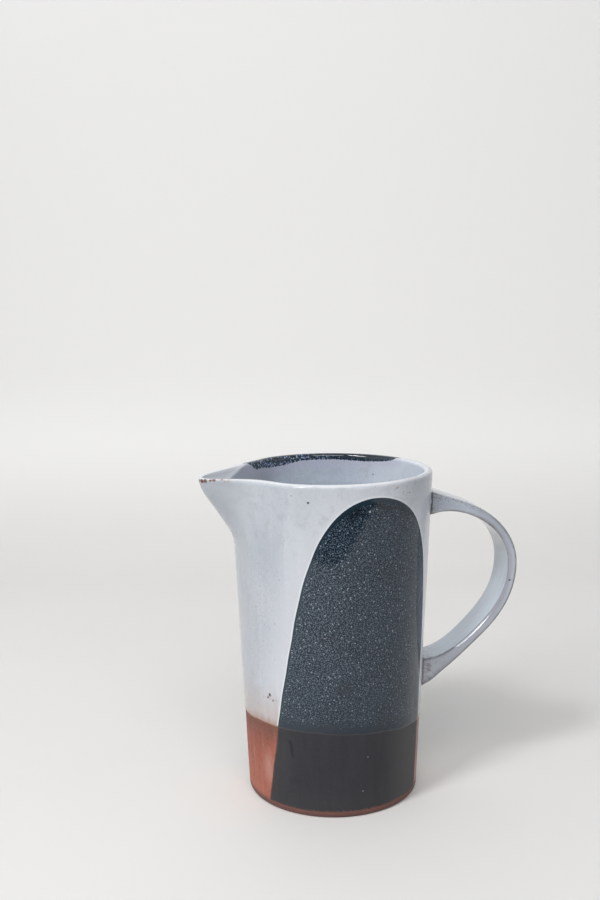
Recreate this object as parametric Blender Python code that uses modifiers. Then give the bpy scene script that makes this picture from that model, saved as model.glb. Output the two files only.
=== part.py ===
"""Glazed terracotta jug: a thrown body with a pulled spout, a strap handle luted
on in two places, and the coats of slip and glaze that are fired on to them.

Metres, +Z up. The origin is the centre of the flat base, the handle is on +X
and the spout on -X.
"""
import math

import bmesh
import bpy
from mathutils import Vector
from mathutils.geometry import interpolate_bezier

MM = 0.001

# ---- driving dimensions: the body, measured over its coats -----------------
HEIGHT = 170.0 * MM
BASE_RADIUS = 45.0 * MM
RIM_RADIUS = 52.5 * MM
WALL_AT_LIP = 4.4 * MM
WALL_AT_FOOT = 5.6 * MM
LIP_RISE = 2.4 * MM            # height of the rounded part of the lip
FLOOR_LEVEL = 7.5 * MM         # inside floor above the table
INNER_CORNER = 10.0 * MM       # radius between the inside wall and the floor
FOOT_EDGE = 2.0 * MM           # softened edge of the base

# ---- the pulled spout ------------------------------------------------------
SPOUT_START = 131.0 * MM       # where the wall begins to lean out
SPOUT_SLOPE = 0.60             # lean of the spout's underside
SPOUT_BLEND = 11.0 * MM        # height over which the lean grows
SPOUT_TURN = 156.0 * MM        # from here up the lip stands steeper again
SPOUT_HALF_WIDTH = 30.0 * MM   # half the width of the spout at the rim
SPOUT_POINT = 2.3              # higher is a sharper tip
SPOUT_DROP = 2.5 * MM          # how far the tip dips below the rim
SPOUT_DROP_START = 150.0 * MM
PINCH = 1.6 * MM               # rim pressed in on both sides of the spout
PINCH_ANGLE = math.radians(42.0)
PINCH_SPREAD = math.radians(11.0)

# ---- the coats -------------------------------------------------------------
COAT = 0.40 * MM               # thickness of slip or glaze
GAP = 0.30 * MM                # clearance between neighbouring pieces
SKIN = COAT + GAP + 0.05 * MM  # depth of the clay below the finished surface
SLIP_FOOT = 3.0 * MM           # lower edge of the slip fields

GLAZE_LINE = 40.1 * MM         # mean height of the glaze's lower edge
GLAZE_TILT = 0.106             # slope of that edge, dipped at a slant
GLAZE_HIGH_SIDE = math.radians(-122.5)

FRONT_FIELD = math.radians(-75.5)       # middle of the near slip field
FRONT_TOP = 163.2 * MM
FRONT_LEFT_FOOT = math.radians(71.0)    # half angles of the field
FRONT_LEFT_LEAN = math.radians(0.245)   # lost on each millimetre of height
FRONT_RIGHT = math.radians(47.0)

BACK_FIELD = math.radians(90.0)         # middle of the far slip field
BACK_RIM = math.radians(56.0)           # half angle at the rim
BACK_FOOT = math.radians(75.0)          # half angle at the foot
BACK_OVER_RIM = 0.9 * MM                # how far it runs down inside

# ---- the strap handle: Bezier knots of its centre line as (x, z) -----------
STRAP_KNOTS = (
    # knot,            handle towards the next knot, handle before the next knot
    ((46.0, 151.8), (75.9, 152.9), (95.1, 136.5)),
    ((95.1, 117.7), (95.1, 98.4), (84.0, 86.6)),
    ((70.0, 74.2), (59.1, 64.6), (54.9, 64.4)),
    ((43.5, 58.0), None, None),
)
STRAP_HALF_WIDTH = 12.7 * MM   # under the rim
STRAP_TAPER = 3.1 * MM         # lost by the lower end
STRAP_HALF_THICK = 2.3 * MM
STRAP_EDGE = 1.0 * MM          # radius along the four edges
TOP_SWELL = (3.4 * MM, 9.5 * MM)       # extra half thickness at the root, length
FOOT_SWELL = (5.0 * MM, 9.0 * MM)
LUTE = 1.0 * MM                # thickness of the luting slip

# ---- resolution ------------------------------------------------------------
TURNS = 72
STRAP_SIDES = 16
STRAP_STEPS = 12                # for each stretch of the centre line

# ---------------------------------------------------------------------------
for old in list(bpy.data.objects):
    bpy.data.objects.remove(old, do_unlink=True)

scene = bpy.context.scene
parts = bpy.data.collections.new("terracotta_jug")
cutters = bpy.data.collections.new("cutters")
scene.collection.children.link(parts)
scene.collection.children.link(cutters)

origin = bpy.data.objects.new("jug_origin", None)
parts.objects.link(origin)


def material(name, colour, roughness):
    mat = bpy.data.materials.new(name)
    mat.use_nodes = True
    shader = mat.node_tree.nodes["Principled BSDF"]
    shader.inputs["Base Color"].default_value = (*colour, 1.0)
    shader.inputs["Roughness"].default_value = roughness
    shader.inputs["Metallic"].default_value = 0.0
    return mat


TERRACOTTA = material("terracotta", (0.50, 0.25, 0.14), 0.85)
LUTING = material("luting_slip", (0.42, 0.20, 0.11), 0.90)
PALE_GLAZE = material("pale_glaze", (0.55, 0.61, 0.66), 0.16)
LINING_GLAZE = material("lining_glaze", (0.47, 0.55, 0.62), 0.18)
STRAP_GLAZE = material("strap_glaze", (0.53, 0.60, 0.66), 0.16)
DARK_SLIP = material("dark_slip", (0.030, 0.034, 0.045), 0.40)
DARK_SLIP_BACK = material("dark_slip_back", (0.034, 0.038, 0.050), 0.40)


def smooth(value):
    value = min(1.0, max(0.0, value))
    return value * value * (3.0 - 2.0 * value)


# ---- the finished surface of the body --------------------------------------
def outer_radius(z):
    return BASE_RADIUS + (RIM_RADIUS - BASE_RADIUS) * z / HEIGHT


def wall(z):
    return WALL_AT_FOOT + (WALL_AT_LIP - WALL_AT_FOOT) * z / HEIGHT


def lean(z):
    """How far the middle of the spout stands out from the turned wall."""
    rise = z - SPOUT_START
    if rise <= 0.0:
        return 0.0
    over = max(0.0, z - SPOUT_TURN)
    ease = SPOUT_SLOPE * over * over / (2.0 * (HEIGHT - SPOUT_TURN)) * 0.85
    if rise < SPOUT_BLEND:
        return SPOUT_SLOPE * rise * rise / (2.0 * SPOUT_BLEND)
    return SPOUT_SLOPE * (rise - SPOUT_BLEND / 2.0) - ease


def mid_wall(z, angle):
    """Middle of the wall at a height and an angle, with the spout pulled out."""
    radius = outer_radius(z) - wall(z) / 2.0
    x, y = radius * math.cos(angle), radius * math.sin(angle)
    drop = 0.0
    if x < 0.0 and z > SPOUT_START - 30.0 * MM:
        turn = math.atan2(abs(y), -x)
        away = (turn - PINCH_ANGLE) / PINCH_SPREAD
        push = PINCH * math.exp(-away * away) * smooth(
            (z - SPOUT_START + 30.0 * MM) / (HEIGHT - SPOUT_START + 30.0 * MM))
        x -= push * math.cos(angle)
        y -= push * math.sin(angle)
        if abs(y) < SPOUT_HALF_WIDTH:
            shape = math.cos(math.pi * y / (2.0 * SPOUT_HALF_WIDTH)) ** SPOUT_POINT
            x -= lean(z) * shape
            drop = SPOUT_DROP * shape * smooth(
                (z - SPOUT_DROP_START) / (HEIGHT - SPOUT_DROP_START))
    return Vector((x, y, z - drop))


def wall_normal(z, angle):
    """Level direction straight out of the wall."""
    step = 0.002
    along = mid_wall(z, angle + step) - mid_wall(z, angle - step)
    return Vector((along.y, -along.x, 0.0)).normalized()


SHOULDER = HEIGHT - LIP_RISE                 # where the lip begins to round
CORNER_TOP = FLOOR_LEVEL + INNER_CORNER
CORNER_RADIUS_OUT = outer_radius(CORNER_TOP) - wall(CORNER_TOP)


def surface(q, angle):
    """The finished surface, followed once round its section.

    q 0 to 1 is the outside wall from the table up, 1 to 2 the lip, 2 to 3 the
    inside wall going down, 3 to 4 the inside corner and 4 to 5 the floor.
    """
    if q <= 1.0:
        z = SHOULDER * q
        return mid_wall(z, angle) + wall_normal(z, angle) * (wall(z) / 2.0)
    if q <= 2.0:
        turn = math.pi * (q - 1.0)
        return (mid_wall(SHOULDER, angle)
                + wall_normal(SHOULDER, angle) * (wall(SHOULDER) / 2.0 * math.cos(turn))
                + Vector((0.0, 0.0, LIP_RISE * math.sin(turn))))
    if q <= 3.0:
        z = SHOULDER + (CORNER_TOP - SHOULDER) * (q - 2.0)
        return mid_wall(z, angle) - wall_normal(z, angle) * (wall(z) / 2.0)
    if q <= 4.0:
        turn = math.pi / 2.0 * (q - 3.0)
        radius = CORNER_RADIUS_OUT - INNER_CORNER * (1.0 - math.cos(turn))
        z = CORNER_TOP - INNER_CORNER * math.sin(turn)
    else:
        radius = (CORNER_RADIUS_OUT - INNER_CORNER) * (5.0 - q)
        z = FLOOR_LEVEL
    return Vector((radius * math.cos(angle), radius * math.sin(angle), z))


def sunk(q, angle, depth):
    """A point at a depth below the finished surface."""
    point = surface(q, angle)
    if q > 4.0:
        return point - Vector((0.0, 0.0, depth))
    step = 0.004
    across = surface(q, angle + step) - surface(q, angle - step)
    along = surface(min(q + step, 4.0), angle) - surface(max(q - step, 0.0), angle)
    return point - across.cross(along).normalized() * depth


def height_to_q(z):
    return z / SHOULDER


def gather(angle):
    """Slides a turning angle so that the columns crowd together at the spout."""
    turn = angle - math.pi
    return math.pi + turn - 0.5 * math.sin(turn)


# ---- outlines of the slip fields and of the glaze ---------------------------
def front_left(z):
    rest = 1.0 - min(1.0, z / FRONT_TOP) ** 10
    return (FRONT_LEFT_FOOT - FRONT_LEFT_LEAN * z / MM) * math.sqrt(rest)


def front_right(z):
    rest = 1.0 - min(1.0, z / FRONT_TOP) ** 6
    return FRONT_RIGHT * math.sqrt(rest)


def back_half(z):
    return BACK_RIM + (BACK_FOOT - BACK_RIM) * (1.0 - min(1.0, z / SHOULDER))


LIP_QUARTER = math.pi / 4.0 * (WALL_AT_LIP / 2.0 + LIP_RISE)   # from its top to the inside wall


def inside_q(run):
    """q at a length of surface, measured from the top of the lip to the inside."""
    if run < LIP_QUARTER:
        return 1.5 + 0.5 * run / LIP_QUARTER
    return 2.0 + (run - LIP_QUARTER) / (SHOULDER - CORNER_TOP)


def back_run(angle, beyond=1.0):
    """How far the far field runs inside from the top of the lip."""
    off = math.atan2(math.sin(angle - BACK_FIELD), math.cos(angle - BACK_FIELD)) / BACK_RIM
    if abs(off) > beyond:
        return 0.0
    return max(1.0 * MM, (LIP_QUARTER + BACK_OVER_RIM) * math.sqrt(max(0.0, 1.0 - off * off)))


def glaze_edge(angle):
    return GLAZE_LINE + GLAZE_TILT * outer_radius(GLAZE_LINE) * math.cos(angle - GLAZE_HIGH_SIDE)


# ---- mesh helpers -----------------------------------------------------------
def finish(name, bm, mat, collection=parts):
    mesh = bpy.data.meshes.new(name)
    bm.to_mesh(mesh)
    bm.free()
    mesh.shade_smooth()
    mesh.set_sharp_from_angle(angle=math.radians(40.0))
    obj = bpy.data.objects.new(name, mesh)
    collection.objects.link(obj)
    if mat is not None:
        mesh.materials.append(mat)
        obj.parent = origin
    else:
        obj.hide_render = True
        obj.display_type = "WIRE"
    return obj


def turned(profile, steps):
    """Turns a profile of (r, z) points round Z and gives it back as a bmesh."""
    mesh = bpy.data.meshes.new("profile")
    mesh.from_pydata([(r, 0.0, z) for r, z in profile],
                     [(i, i + 1) for i in range(len(profile) - 1)], [])
    obj = bpy.data.objects.new("profile", mesh)
    cutters.objects.link(obj)
    screw = obj.modifiers.new("turn", "SCREW")
    screw.axis = "Z"
    screw.angle = 2.0 * math.pi
    screw.steps = steps
    screw.render_steps = steps
    screw.use_merge_vertices = True
    screw.merge_threshold = 0.00001
    bpy.context.view_layer.update()
    graph = bpy.context.evaluated_depsgraph_get()
    made = bpy.data.meshes.new_from_object(obj.evaluated_get(graph))
    bm = bmesh.new()
    bm.from_mesh(made)
    bmesh.ops.remove_doubles(bm, verts=bm.verts, dist=0.000002)
    bpy.data.meshes.remove(made)
    bpy.data.objects.remove(obj, do_unlink=True)
    bpy.data.meshes.remove(mesh)
    return bm


def ring_of(vertex, profile):
    """Index of the profile point that a turned vertex comes from."""
    radius = math.hypot(vertex.co.x, vertex.co.y)
    return min(range(len(profile)),
               key=lambda i: (profile[i][0] - radius) ** 2 + (profile[i][1] - vertex.co.z) ** 2)


def sheet(bm, columns, rows, place):
    """Adds a grid to bm and lays it out with place(column fraction, row value)."""
    last = len(rows) - 1
    made = bmesh.ops.create_grid(bm, x_segments=columns, y_segments=last, size=1.0)
    for vertex in made["verts"]:
        i = round((vertex.co.x + 1.0) / 2.0 * columns)
        j = round((vertex.co.y + 1.0) / 2.0 * last)
        vertex.co = place(i / columns, rows[j])


def thicken(obj, thickness=COAT):
    solid = obj.modifiers.new("coat", "SOLIDIFY")
    solid.thickness = thickness
    solid.offset = -1.0
    solid.use_even_offset = False
    return solid


def cut(obj, cutter, operation="DIFFERENCE"):
    boolean = obj.modifiers.new(cutter.name, "BOOLEAN")
    boolean.operation = operation
    boolean.solver = "EXACT"
    boolean.object = cutter
    return boolean


def cone_cutter(name, grow):
    """A solid cone standing a set distance outside the finished wall."""
    low, high = -20.0 * MM, HEIGHT + 30.0 * MM
    bm = bmesh.new()
    bmesh.ops.create_cone(bm, cap_ends=True, segments=144, radius1=outer_radius(low) + grow,
                          radius2=outer_radius(high) + grow, depth=high - low)
    bmesh.ops.translate(bm, verts=bm.verts, vec=(0.0, 0.0, (high + low) / 2.0))
    return finish(name, bm, None, cutters)


# ---- thrown body -------------------------------------------------------------
wall_rows = [z * MM for z in (122.0, 130.0, 134.5, 139.0, 143.5, 151.0, 159.5)]
inside_rings = [5.0, 4.0, 3.67, 3.33, 3.0]
inside_rings += [2.0 + (SHOULDER - z) / (SHOULDER - CORNER_TOP) for z in wall_rows]
body_rings = list(inside_rings)
body_rings += [2.0, 1.83, 1.67, 1.5, 1.33, 1.17, 1.0]
body_rings += [height_to_q(z) for z in reversed(wall_rows)]
body_profile = []
for q in body_rings:
    spot = surface(q, 0.0)
    body_profile.append((max(0.0, spot.x), spot.z))
foot_profile = []
for k in range(4):
    turn = math.pi / 2.0 * k / 3.0
    foot_profile.append((outer_radius(FOOT_EDGE) - SKIN - FOOT_EDGE * (1.0 - math.cos(turn)),
                         FOOT_EDGE * (1.0 - math.sin(turn))))
foot_profile.append((0.0, 0.0))

bm = turned(body_profile + foot_profile, TURNS)
for v in bm.verts:
    k = ring_of(v, body_profile + foot_profile)
    around = gather(math.atan2(v.co.y, v.co.x) % (2.0 * math.pi))
    if k < len(body_profile):
        v.co = sunk(body_rings[k], around, SKIN)
    else:
        r, z = foot_profile[k - len(body_profile)]
        v.co = (r * math.cos(around), r * math.sin(around), z)
bmesh.ops.recalc_face_normals(bm, faces=bm.faces)
thrown_body = finish("thrown_body", bm, TERRACOTTA)

# ---- pale glaze lining the inside ---------------------------------------------
LINING_FADE = inside_rings[-1]                # below this the rows run level
lining_rings = inside_rings + [2.0, 1.83, 1.67, 1.5]
lining_profile = []
for q in lining_rings:
    spot = surface(q, 0.0)
    lining_profile.append((max(0.0, spot.x), spot.z))
TOP_CLEAR = inside_q(GAP) - 1.5               # the gap along the top of the lip, as q

bm = turned(lining_profile, TURNS)
for v in bm.verts:
    q = lining_rings[ring_of(v, lining_profile)]
    around = gather(math.atan2(v.co.y, v.co.x) % (2.0 * math.pi))
    if q < LINING_FADE:
        start = inside_q(back_run(around, 1.15) + GAP)
        q = start + (q - 1.5) * (LINING_FADE - start) / (LINING_FADE - 1.5)
    v.co = sunk(q, around, 0.0)
lining = finish("pale_glaze_lining", bm, LINING_GLAZE)
thicken(lining)

# ---- dark slip on the near flank ------------------------------------------------
arch_rows = [z * MM for z in (100.0, 118.0, 130.0, 134.5, 139.0, 143.5, 151.0, 156.0, 159.5,
                              161.7)]
front_rows = [SLIP_FOOT] + [z * MM for z in (26.0, 50.0, 75.0)] + arch_rows
front_rows.append(FRONT_TOP - 0.7 * MM)


def lay_front(u, z):
    left, right = front_left(z + GAP), front_right(z + GAP)
    return surface(height_to_q(z), FRONT_FIELD - left + u * (left + right))


bm = bmesh.new()
sheet(bm, 16, front_rows, lay_front)
front_slip = finish("dark_slip_front", bm, DARK_SLIP)
thicken(front_slip)

# ---- dark slip on the far flank, over the rim ------------------------------------
back_rows = [height_to_q(SLIP_FOOT)] + [height_to_q(z * MM) for z in (45.0, 90.0, 130.0, 155.0)]
back_rows += [1.0, 1.17, 1.34, 1.5]
back_over = [1.5 + k / 6.0 for k in range(1, 7)]      # 1.5 to 2.5 stands for the run inside


def lay_back(u, q):
    half = back_half(min(1.0, q) * SHOULDER)
    angle = BACK_FIELD + (2.0 * u - 1.0) * half
    if q > 1.5:
        q = inside_q((q - 1.5) * back_run(angle, 1.01))
    return surface(q, angle)


bm = bmesh.new()
sheet(bm, 24, back_rows + back_over, lay_back)
back_slip = finish("dark_slip_back", bm, DARK_SLIP_BACK)
thicken(back_slip)

# ---- pale glaze on the outside ------------------------------------------------
LEVEL = 100.0 * MM                             # above this the rows run level
low_rows = [-1.0, -0.6, -0.3]                  # share of the way from LEVEL to the edge
high_rows = arch_rows + [FRONT_TOP - 0.3 * MM, FRONT_TOP + GAP, 165.6 * MM]
outside_rows = low_rows + [height_to_q(z) for z in high_rows] + [1.0, 1.17, 1.33, 1.5 - TOP_CLEAR]


def outside_place(row, edge_angle, far_angle, share):
    """A point of the outside glaze between a front edge and a far edge."""
    z = LEVEL if row < 0.0 else min(row, 1.0) * SHOULDER
    angle = 0.0
    for _ in range(4):
        near, far = edge_angle(z), far_angle(z)
        angle = near + (far - near) * share(z)
        if row < 0.0:
            z = LEVEL + row * (LEVEL - glaze_edge(angle))
    return surface(height_to_q(z) if row < 0.0 else row, angle)


def clear(z):
    return GAP / outer_radius(z)


def right_front_edge(z):
    return FRONT_FIELD + (front_right(z) + clear(z) if z < FRONT_TOP + 0.5 * GAP else 0.0)


def right_far_edge(z):
    return BACK_FIELD - back_half(z) - clear(z)


def left_front_edge(z):
    return FRONT_FIELD + 2.0 * math.pi - (
        front_left(z) + clear(z) if z < FRONT_TOP + 0.5 * GAP else 0.0)


def left_far_edge(z):
    return BACK_FIELD + back_half(z) + clear(z)


def crowd(u, z):
    """Shares out the left columns so that they crowd at the spout."""
    near, far = left_front_edge(z), left_far_edge(z)
    spout = (near - math.pi) / (near - far)
    pull = 0.60 * smooth((z - 60.0 * MM) / (90.0 * MM))
    turn = 2.0 * math.pi * (u - spout)
    start = 2.0 * math.pi * (0.0 - spout)
    end = 2.0 * math.pi * (1.0 - spout)
    value = turn - pull * math.sin(turn)
    first = start - pull * math.sin(start)
    final = end - pull * math.sin(end)
    return (value - first) / (final - first)


bm = bmesh.new()
sheet(bm, 14, outside_rows,
      lambda u, row: outside_place(row, right_front_edge, right_far_edge, lambda z: u))
sheet(bm, 34, outside_rows,
      lambda u, row: outside_place(row, left_front_edge, left_far_edge,
                                   lambda z: crowd(1.0 - u, z)))
bmesh.ops.remove_doubles(bm, verts=bm.verts, dist=0.00001)
outside = finish("pale_glaze_outside", bm, PALE_GLAZE)
thicken(outside)

# ---- strap handle ------------------------------------------------------------
strap_line = []
for (knot, first, second), (following, _, _) in zip(STRAP_KNOTS[:-1], STRAP_KNOTS[1:]):
    stretch = interpolate_bezier(*[Vector((x * MM, 0.0, z * MM))
                                   for x, z in (knot, first, second, following)],
                                 STRAP_STEPS + 1)
    strap_line += stretch if not strap_line else stretch[1:]

strap_run = [0.0]
for a, b in zip(strap_line[:-1], strap_line[1:]):
    strap_run.append(strap_run[-1] + (b - a).length)


def wall_crossing(order):
    """Length along the strap at which it leaves the wall, from one end."""
    before = None
    for k in order:
        gap = strap_line[k].x - outer_radius(strap_line[k].z)
        if gap > 0.0:
            last, shortfall = before
            return strap_run[last] + (strap_run[k] - strap_run[last]) * shortfall / (shortfall + gap)
        before = k, -gap


TOP_RUN = wall_crossing(range(len(strap_line)))
FOOT_RUN = wall_crossing(range(len(strap_line) - 1, -1, -1))


def strap_half(run):
    """Half width and half thickness of the finished strap at a length along it."""
    from_top, from_foot = max(0.0, run - TOP_RUN), max(0.0, FOOT_RUN - run)
    top = TOP_SWELL[0] * math.exp(-from_top / TOP_SWELL[1])
    foot = FOOT_SWELL[0] * math.exp(-from_foot / FOOT_SWELL[1])
    drawn = smooth((run / strap_run[-1] - 0.3) / 0.7)
    return STRAP_HALF_WIDTH - STRAP_TAPER * drawn, STRAP_HALF_THICK + top + foot


def strap_point(k, u, depth):
    ahead = strap_line[min(k + 1, len(strap_line) - 1)]
    behind = strap_line[max(k - 1, 0)]
    along = (ahead - behind).normalized()
    out = Vector((-along.z, 0.0, along.x))
    wide, thick = strap_half(strap_run[k])
    edge = STRAP_EDGE - 0.5 * depth
    corner, share = divmod(round(u * STRAP_SIDES), STRAP_SIDES // 4)
    turn = math.pi / 2.0 * (corner + share / (STRAP_SIDES // 4 - 1.0))
    up = 1.0 if corner % 4 in (0, 3) else -1.0
    side = 1.0 if corner % 4 in (0, 1) else -1.0
    return (strap_line[k]
            + out * (up * (thick - depth - edge) + edge * math.cos(turn))
            + Vector((0.0, 1.0, 0.0)) * (side * (wide - depth - edge) + edge * math.sin(turn)))


def strap(depth, first=0, last=None, closed=True):
    """The strap between two stations, with its ends closed or left open."""
    last = len(strap_line) - 1 if last is None else last
    made = bmesh.new()
    sheet(made, STRAP_SIDES, list(range(first, last + 1)),
          lambda u, k: strap_point(k, u, depth))
    bmesh.ops.remove_doubles(made, verts=made.verts, dist=0.000005)
    if closed:
        bmesh.ops.holes_fill(made, edges=[e for e in made.edges if e.is_boundary], sides=0)
    bmesh.ops.recalc_face_normals(made, faces=made.faces)
    return made


to_handle = cone_cutter("wall_to_handle", -SKIN + GAP + LUTE + GAP)
to_lute_out = cone_cutter("wall_to_lute_outside", -SKIN + GAP + LUTE)
to_lute_in = cone_cutter("wall_to_lute_inside", -SKIN + GAP)
to_glaze = cone_cutter("wall_to_handle_glaze", 2.0 * GAP)

strap_handle = finish("strap_handle", strap(SKIN), TERRACOTTA)
cut(strap_handle, to_handle)

def station(run):
    return min(range(len(strap_run)), key=lambda k: abs(strap_run[k] - run))


UPPER_END = (0, station(TOP_RUN + 16.0 * MM))
LOWER_END = (station(FOOT_RUN - 16.0 * MM), None)
for name, stations in (("upper_luting_joint", UPPER_END), ("lower_luting_joint", LOWER_END)):
    lute = finish(name, strap(SKIN, *stations), LUTING)
    cut(lute, to_lute_out, "INTERSECT")
    cut(lute, to_lute_in)

sleeve = finish("handle_glaze", strap(0.0, closed=False), STRAP_GLAZE)
thicken(sleeve)
cut(sleeve, to_glaze)

# clearance for the two roots of the strap through the outside glaze
for name, stations in (("upper_root", UPPER_END), ("lower_root", LOWER_END)):
    root = finish(name, strap(SKIN - GAP - 0.1 * MM, *stations), None, cutters)
    cut(outside, root)
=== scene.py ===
"""Looks of the glazed terracotta jug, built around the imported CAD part.

Metres, +Z up, in the frame of the CAD: the origin is the centre of the flat
base, the handle is on +X and the spout on -X.
"""
import math

import bmesh
import bpy
import numpy as np
from mathutils import Matrix, Vector
from mathutils.kdtree import KDTree


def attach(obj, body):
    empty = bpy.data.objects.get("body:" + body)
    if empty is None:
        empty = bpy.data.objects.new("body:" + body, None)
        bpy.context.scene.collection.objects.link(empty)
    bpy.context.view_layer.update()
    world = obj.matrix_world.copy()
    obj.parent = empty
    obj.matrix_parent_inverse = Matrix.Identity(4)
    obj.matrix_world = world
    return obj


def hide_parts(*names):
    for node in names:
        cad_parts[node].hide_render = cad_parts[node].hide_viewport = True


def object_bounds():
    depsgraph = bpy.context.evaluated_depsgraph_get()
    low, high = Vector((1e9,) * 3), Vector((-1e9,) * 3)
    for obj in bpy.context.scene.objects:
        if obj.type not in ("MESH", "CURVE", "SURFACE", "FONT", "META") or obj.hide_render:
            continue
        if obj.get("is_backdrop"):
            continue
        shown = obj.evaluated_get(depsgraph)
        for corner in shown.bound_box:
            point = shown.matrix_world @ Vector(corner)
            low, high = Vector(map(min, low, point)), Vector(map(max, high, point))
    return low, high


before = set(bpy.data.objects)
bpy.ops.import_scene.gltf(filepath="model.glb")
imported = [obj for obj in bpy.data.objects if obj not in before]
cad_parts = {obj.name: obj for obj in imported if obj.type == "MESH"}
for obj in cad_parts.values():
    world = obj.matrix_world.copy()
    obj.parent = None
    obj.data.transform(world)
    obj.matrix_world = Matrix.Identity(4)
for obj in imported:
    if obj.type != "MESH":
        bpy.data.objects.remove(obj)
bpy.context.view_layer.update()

MM = 0.001

# ---- the form, as the CAD has it -------------------------------------------
HEIGHT = 170.0 * MM
BASE_RADIUS = 45.0 * MM
RIM_RADIUS = 52.5 * MM
WALL_AT_LIP = 4.4 * MM
WALL_AT_FOOT = 5.6 * MM
LIP_RISE = 2.4 * MM
LIP_SQUARE = 2.7               # power of the lip's section, 2 is an ellipse
FLOOR_LEVEL = 7.5 * MM
INNER_CORNER = 10.0 * MM
FOOT_EDGE = 1.7 * MM
SHOULDER = HEIGHT - LIP_RISE
CORNER_TOP = FLOOR_LEVEL + INNER_CORNER

SPOUT_START = 131.0 * MM
SPOUT_SLOPE = 0.60
SPOUT_BLEND = 11.0 * MM
SPOUT_TURN = 156.0 * MM
SPOUT_HALF_WIDTH = 30.0 * MM
SPOUT_POINT = 2.3
SPOUT_DROP = 1.7 * MM
SPOUT_DROP_START = 150.0 * MM
SPOUT_THIN = 0.45              # share of the wall drawn out of the spout's lip
PINCH = 1.6 * MM
PINCH_ANGLE = math.radians(42.0)
PINCH_SPREAD = math.radians(11.0)
RIM_LIFT = 0.55 * MM           # the far rim stands a little higher

COAT = 0.35 * MM               # glaze over the clay
SLIP = 0.10 * MM               # bare slip over the clay
BURIED = 0.04 * MM             # how far a coat's underside sits in the clay
SLIP_FOOT = 3.0 * MM
LEVEL = 100.0 * MM             # rows of the coats run level above this

GLAZE_LINE = 40.1 * MM
GLAZE_TILT = 0.106
GLAZE_HIGH_SIDE = math.radians(-122.5)

FRONT_FIELD = math.radians(-75.5)
FRONT_TOP = 163.2 * MM
FRONT_LEFT_FOOT = math.radians(71.0)
FRONT_LEFT_LEAN = math.radians(0.245)
FRONT_RIGHT = math.radians(47.0)

BACK_FIELD = math.radians(90.0)
BACK_RIM = math.radians(58.7)
BACK_FOOT = math.radians(75.0)

STRAP_KNOTS = (
    ((46.0, 151.8), (75.9, 152.9), (95.1, 136.5)),
    ((95.1, 117.7), (95.1, 98.4), (84.0, 86.6)),
    ((70.0, 74.2), (59.1, 64.6), (54.9, 64.4)),
    ((43.5, 58.0), None, None),
)
STRAP_HALF_WIDTH = 12.7 * MM
STRAP_TAPER = 3.1 * MM
STRAP_HALF_THICK = 2.2 * MM    # at the edges
STRAP_EDGE = 0.95 * MM
STRAP_CROWN = 0.45 * MM        # how much fuller the middle is than the edges
TOP_SWELL = (3.4 * MM, 9.5 * MM)
FOOT_SWELL = (5.0 * MM, 9.0 * MM)


def ease(value):
    value = np.clip(value, 0.0, 1.0)
    return value * value * (3.0 - 2.0 * value)


def outer_radius(z):
    return BASE_RADIUS + (RIM_RADIUS - BASE_RADIUS) * z / HEIGHT


def wall(z):
    return WALL_AT_FOOT + (WALL_AT_LIP - WALL_AT_FOOT) * z / HEIGHT


def lean(z):
    rise = np.maximum(0.0, z - SPOUT_START)
    over = np.maximum(0.0, z - SPOUT_TURN)
    back = SPOUT_SLOPE * over * over / (2.0 * (HEIGHT - SPOUT_TURN)) * 0.85
    low = SPOUT_SLOPE * rise * rise / (2.0 * SPOUT_BLEND)
    return np.where(rise < SPOUT_BLEND, low, SPOUT_SLOPE * (rise - SPOUT_BLEND / 2.0) - back)


def mid_wall(z, angle):
    """Middle of the wall at a height and an angle, with the spout pulled out."""
    radius = outer_radius(z) - wall(z) / 2.0
    x, y = radius * np.cos(angle), radius * np.sin(angle)
    high = (x < 0.0) & (z > SPOUT_START - 30.0 * MM)
    away = (np.arctan2(np.abs(y), -x) - PINCH_ANGLE) / PINCH_SPREAD
    push = np.where(high, PINCH * np.exp(-away * away) * ease(
        (z - SPOUT_START + 30.0 * MM) / (HEIGHT - SPOUT_START + 30.0 * MM)), 0.0)
    x, y = x - push * np.cos(angle), y - push * np.sin(angle)
    turn = np.clip(np.pi * y / (2.0 * SPOUT_HALF_WIDTH), -np.pi / 2.0, np.pi / 2.0)
    shape = np.where(high, np.maximum(0.0, np.cos(turn)), 0.0) ** SPOUT_POINT
    x = x - lean(z) * shape
    drop = SPOUT_DROP * shape * ease((z - SPOUT_DROP_START) / (HEIGHT - SPOUT_DROP_START))
    lift = RIM_LIFT * ease((z - 135.0 * MM) / (35.0 * MM)) * np.maximum(
        0.0, np.sin(angle + math.radians(10.0)))
    return np.stack([x, y, z - drop + lift], axis=-1)


def wall_normal(z, angle):
    along = mid_wall(z, angle + 0.002) - mid_wall(z, angle - 0.002)
    out = np.stack([along[..., 1], -along[..., 0], np.zeros_like(along[..., 0])], axis=-1)
    return out / np.linalg.norm(out, axis=-1, keepdims=True)


def spout_share(angle):
    """1 at the spout's tip, 0 away from it."""
    y = RIM_RADIUS * np.sin(angle)
    turn = np.clip(np.pi * y / (2.0 * SPOUT_HALF_WIDTH), -np.pi / 2.0, np.pi / 2.0)
    return np.where(np.cos(angle) < 0.0, np.maximum(0.0, np.cos(turn)), 0.0) ** SPOUT_POINT


def thickness(z, angle):
    """The wall's thickness, which thins out at the spout's lip."""
    drawn = SPOUT_THIN * spout_share(angle) ** 0.6 * ease((z - 138.0 * MM) / (26.0 * MM))
    return wall(z) * (1.0 - drawn)


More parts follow.
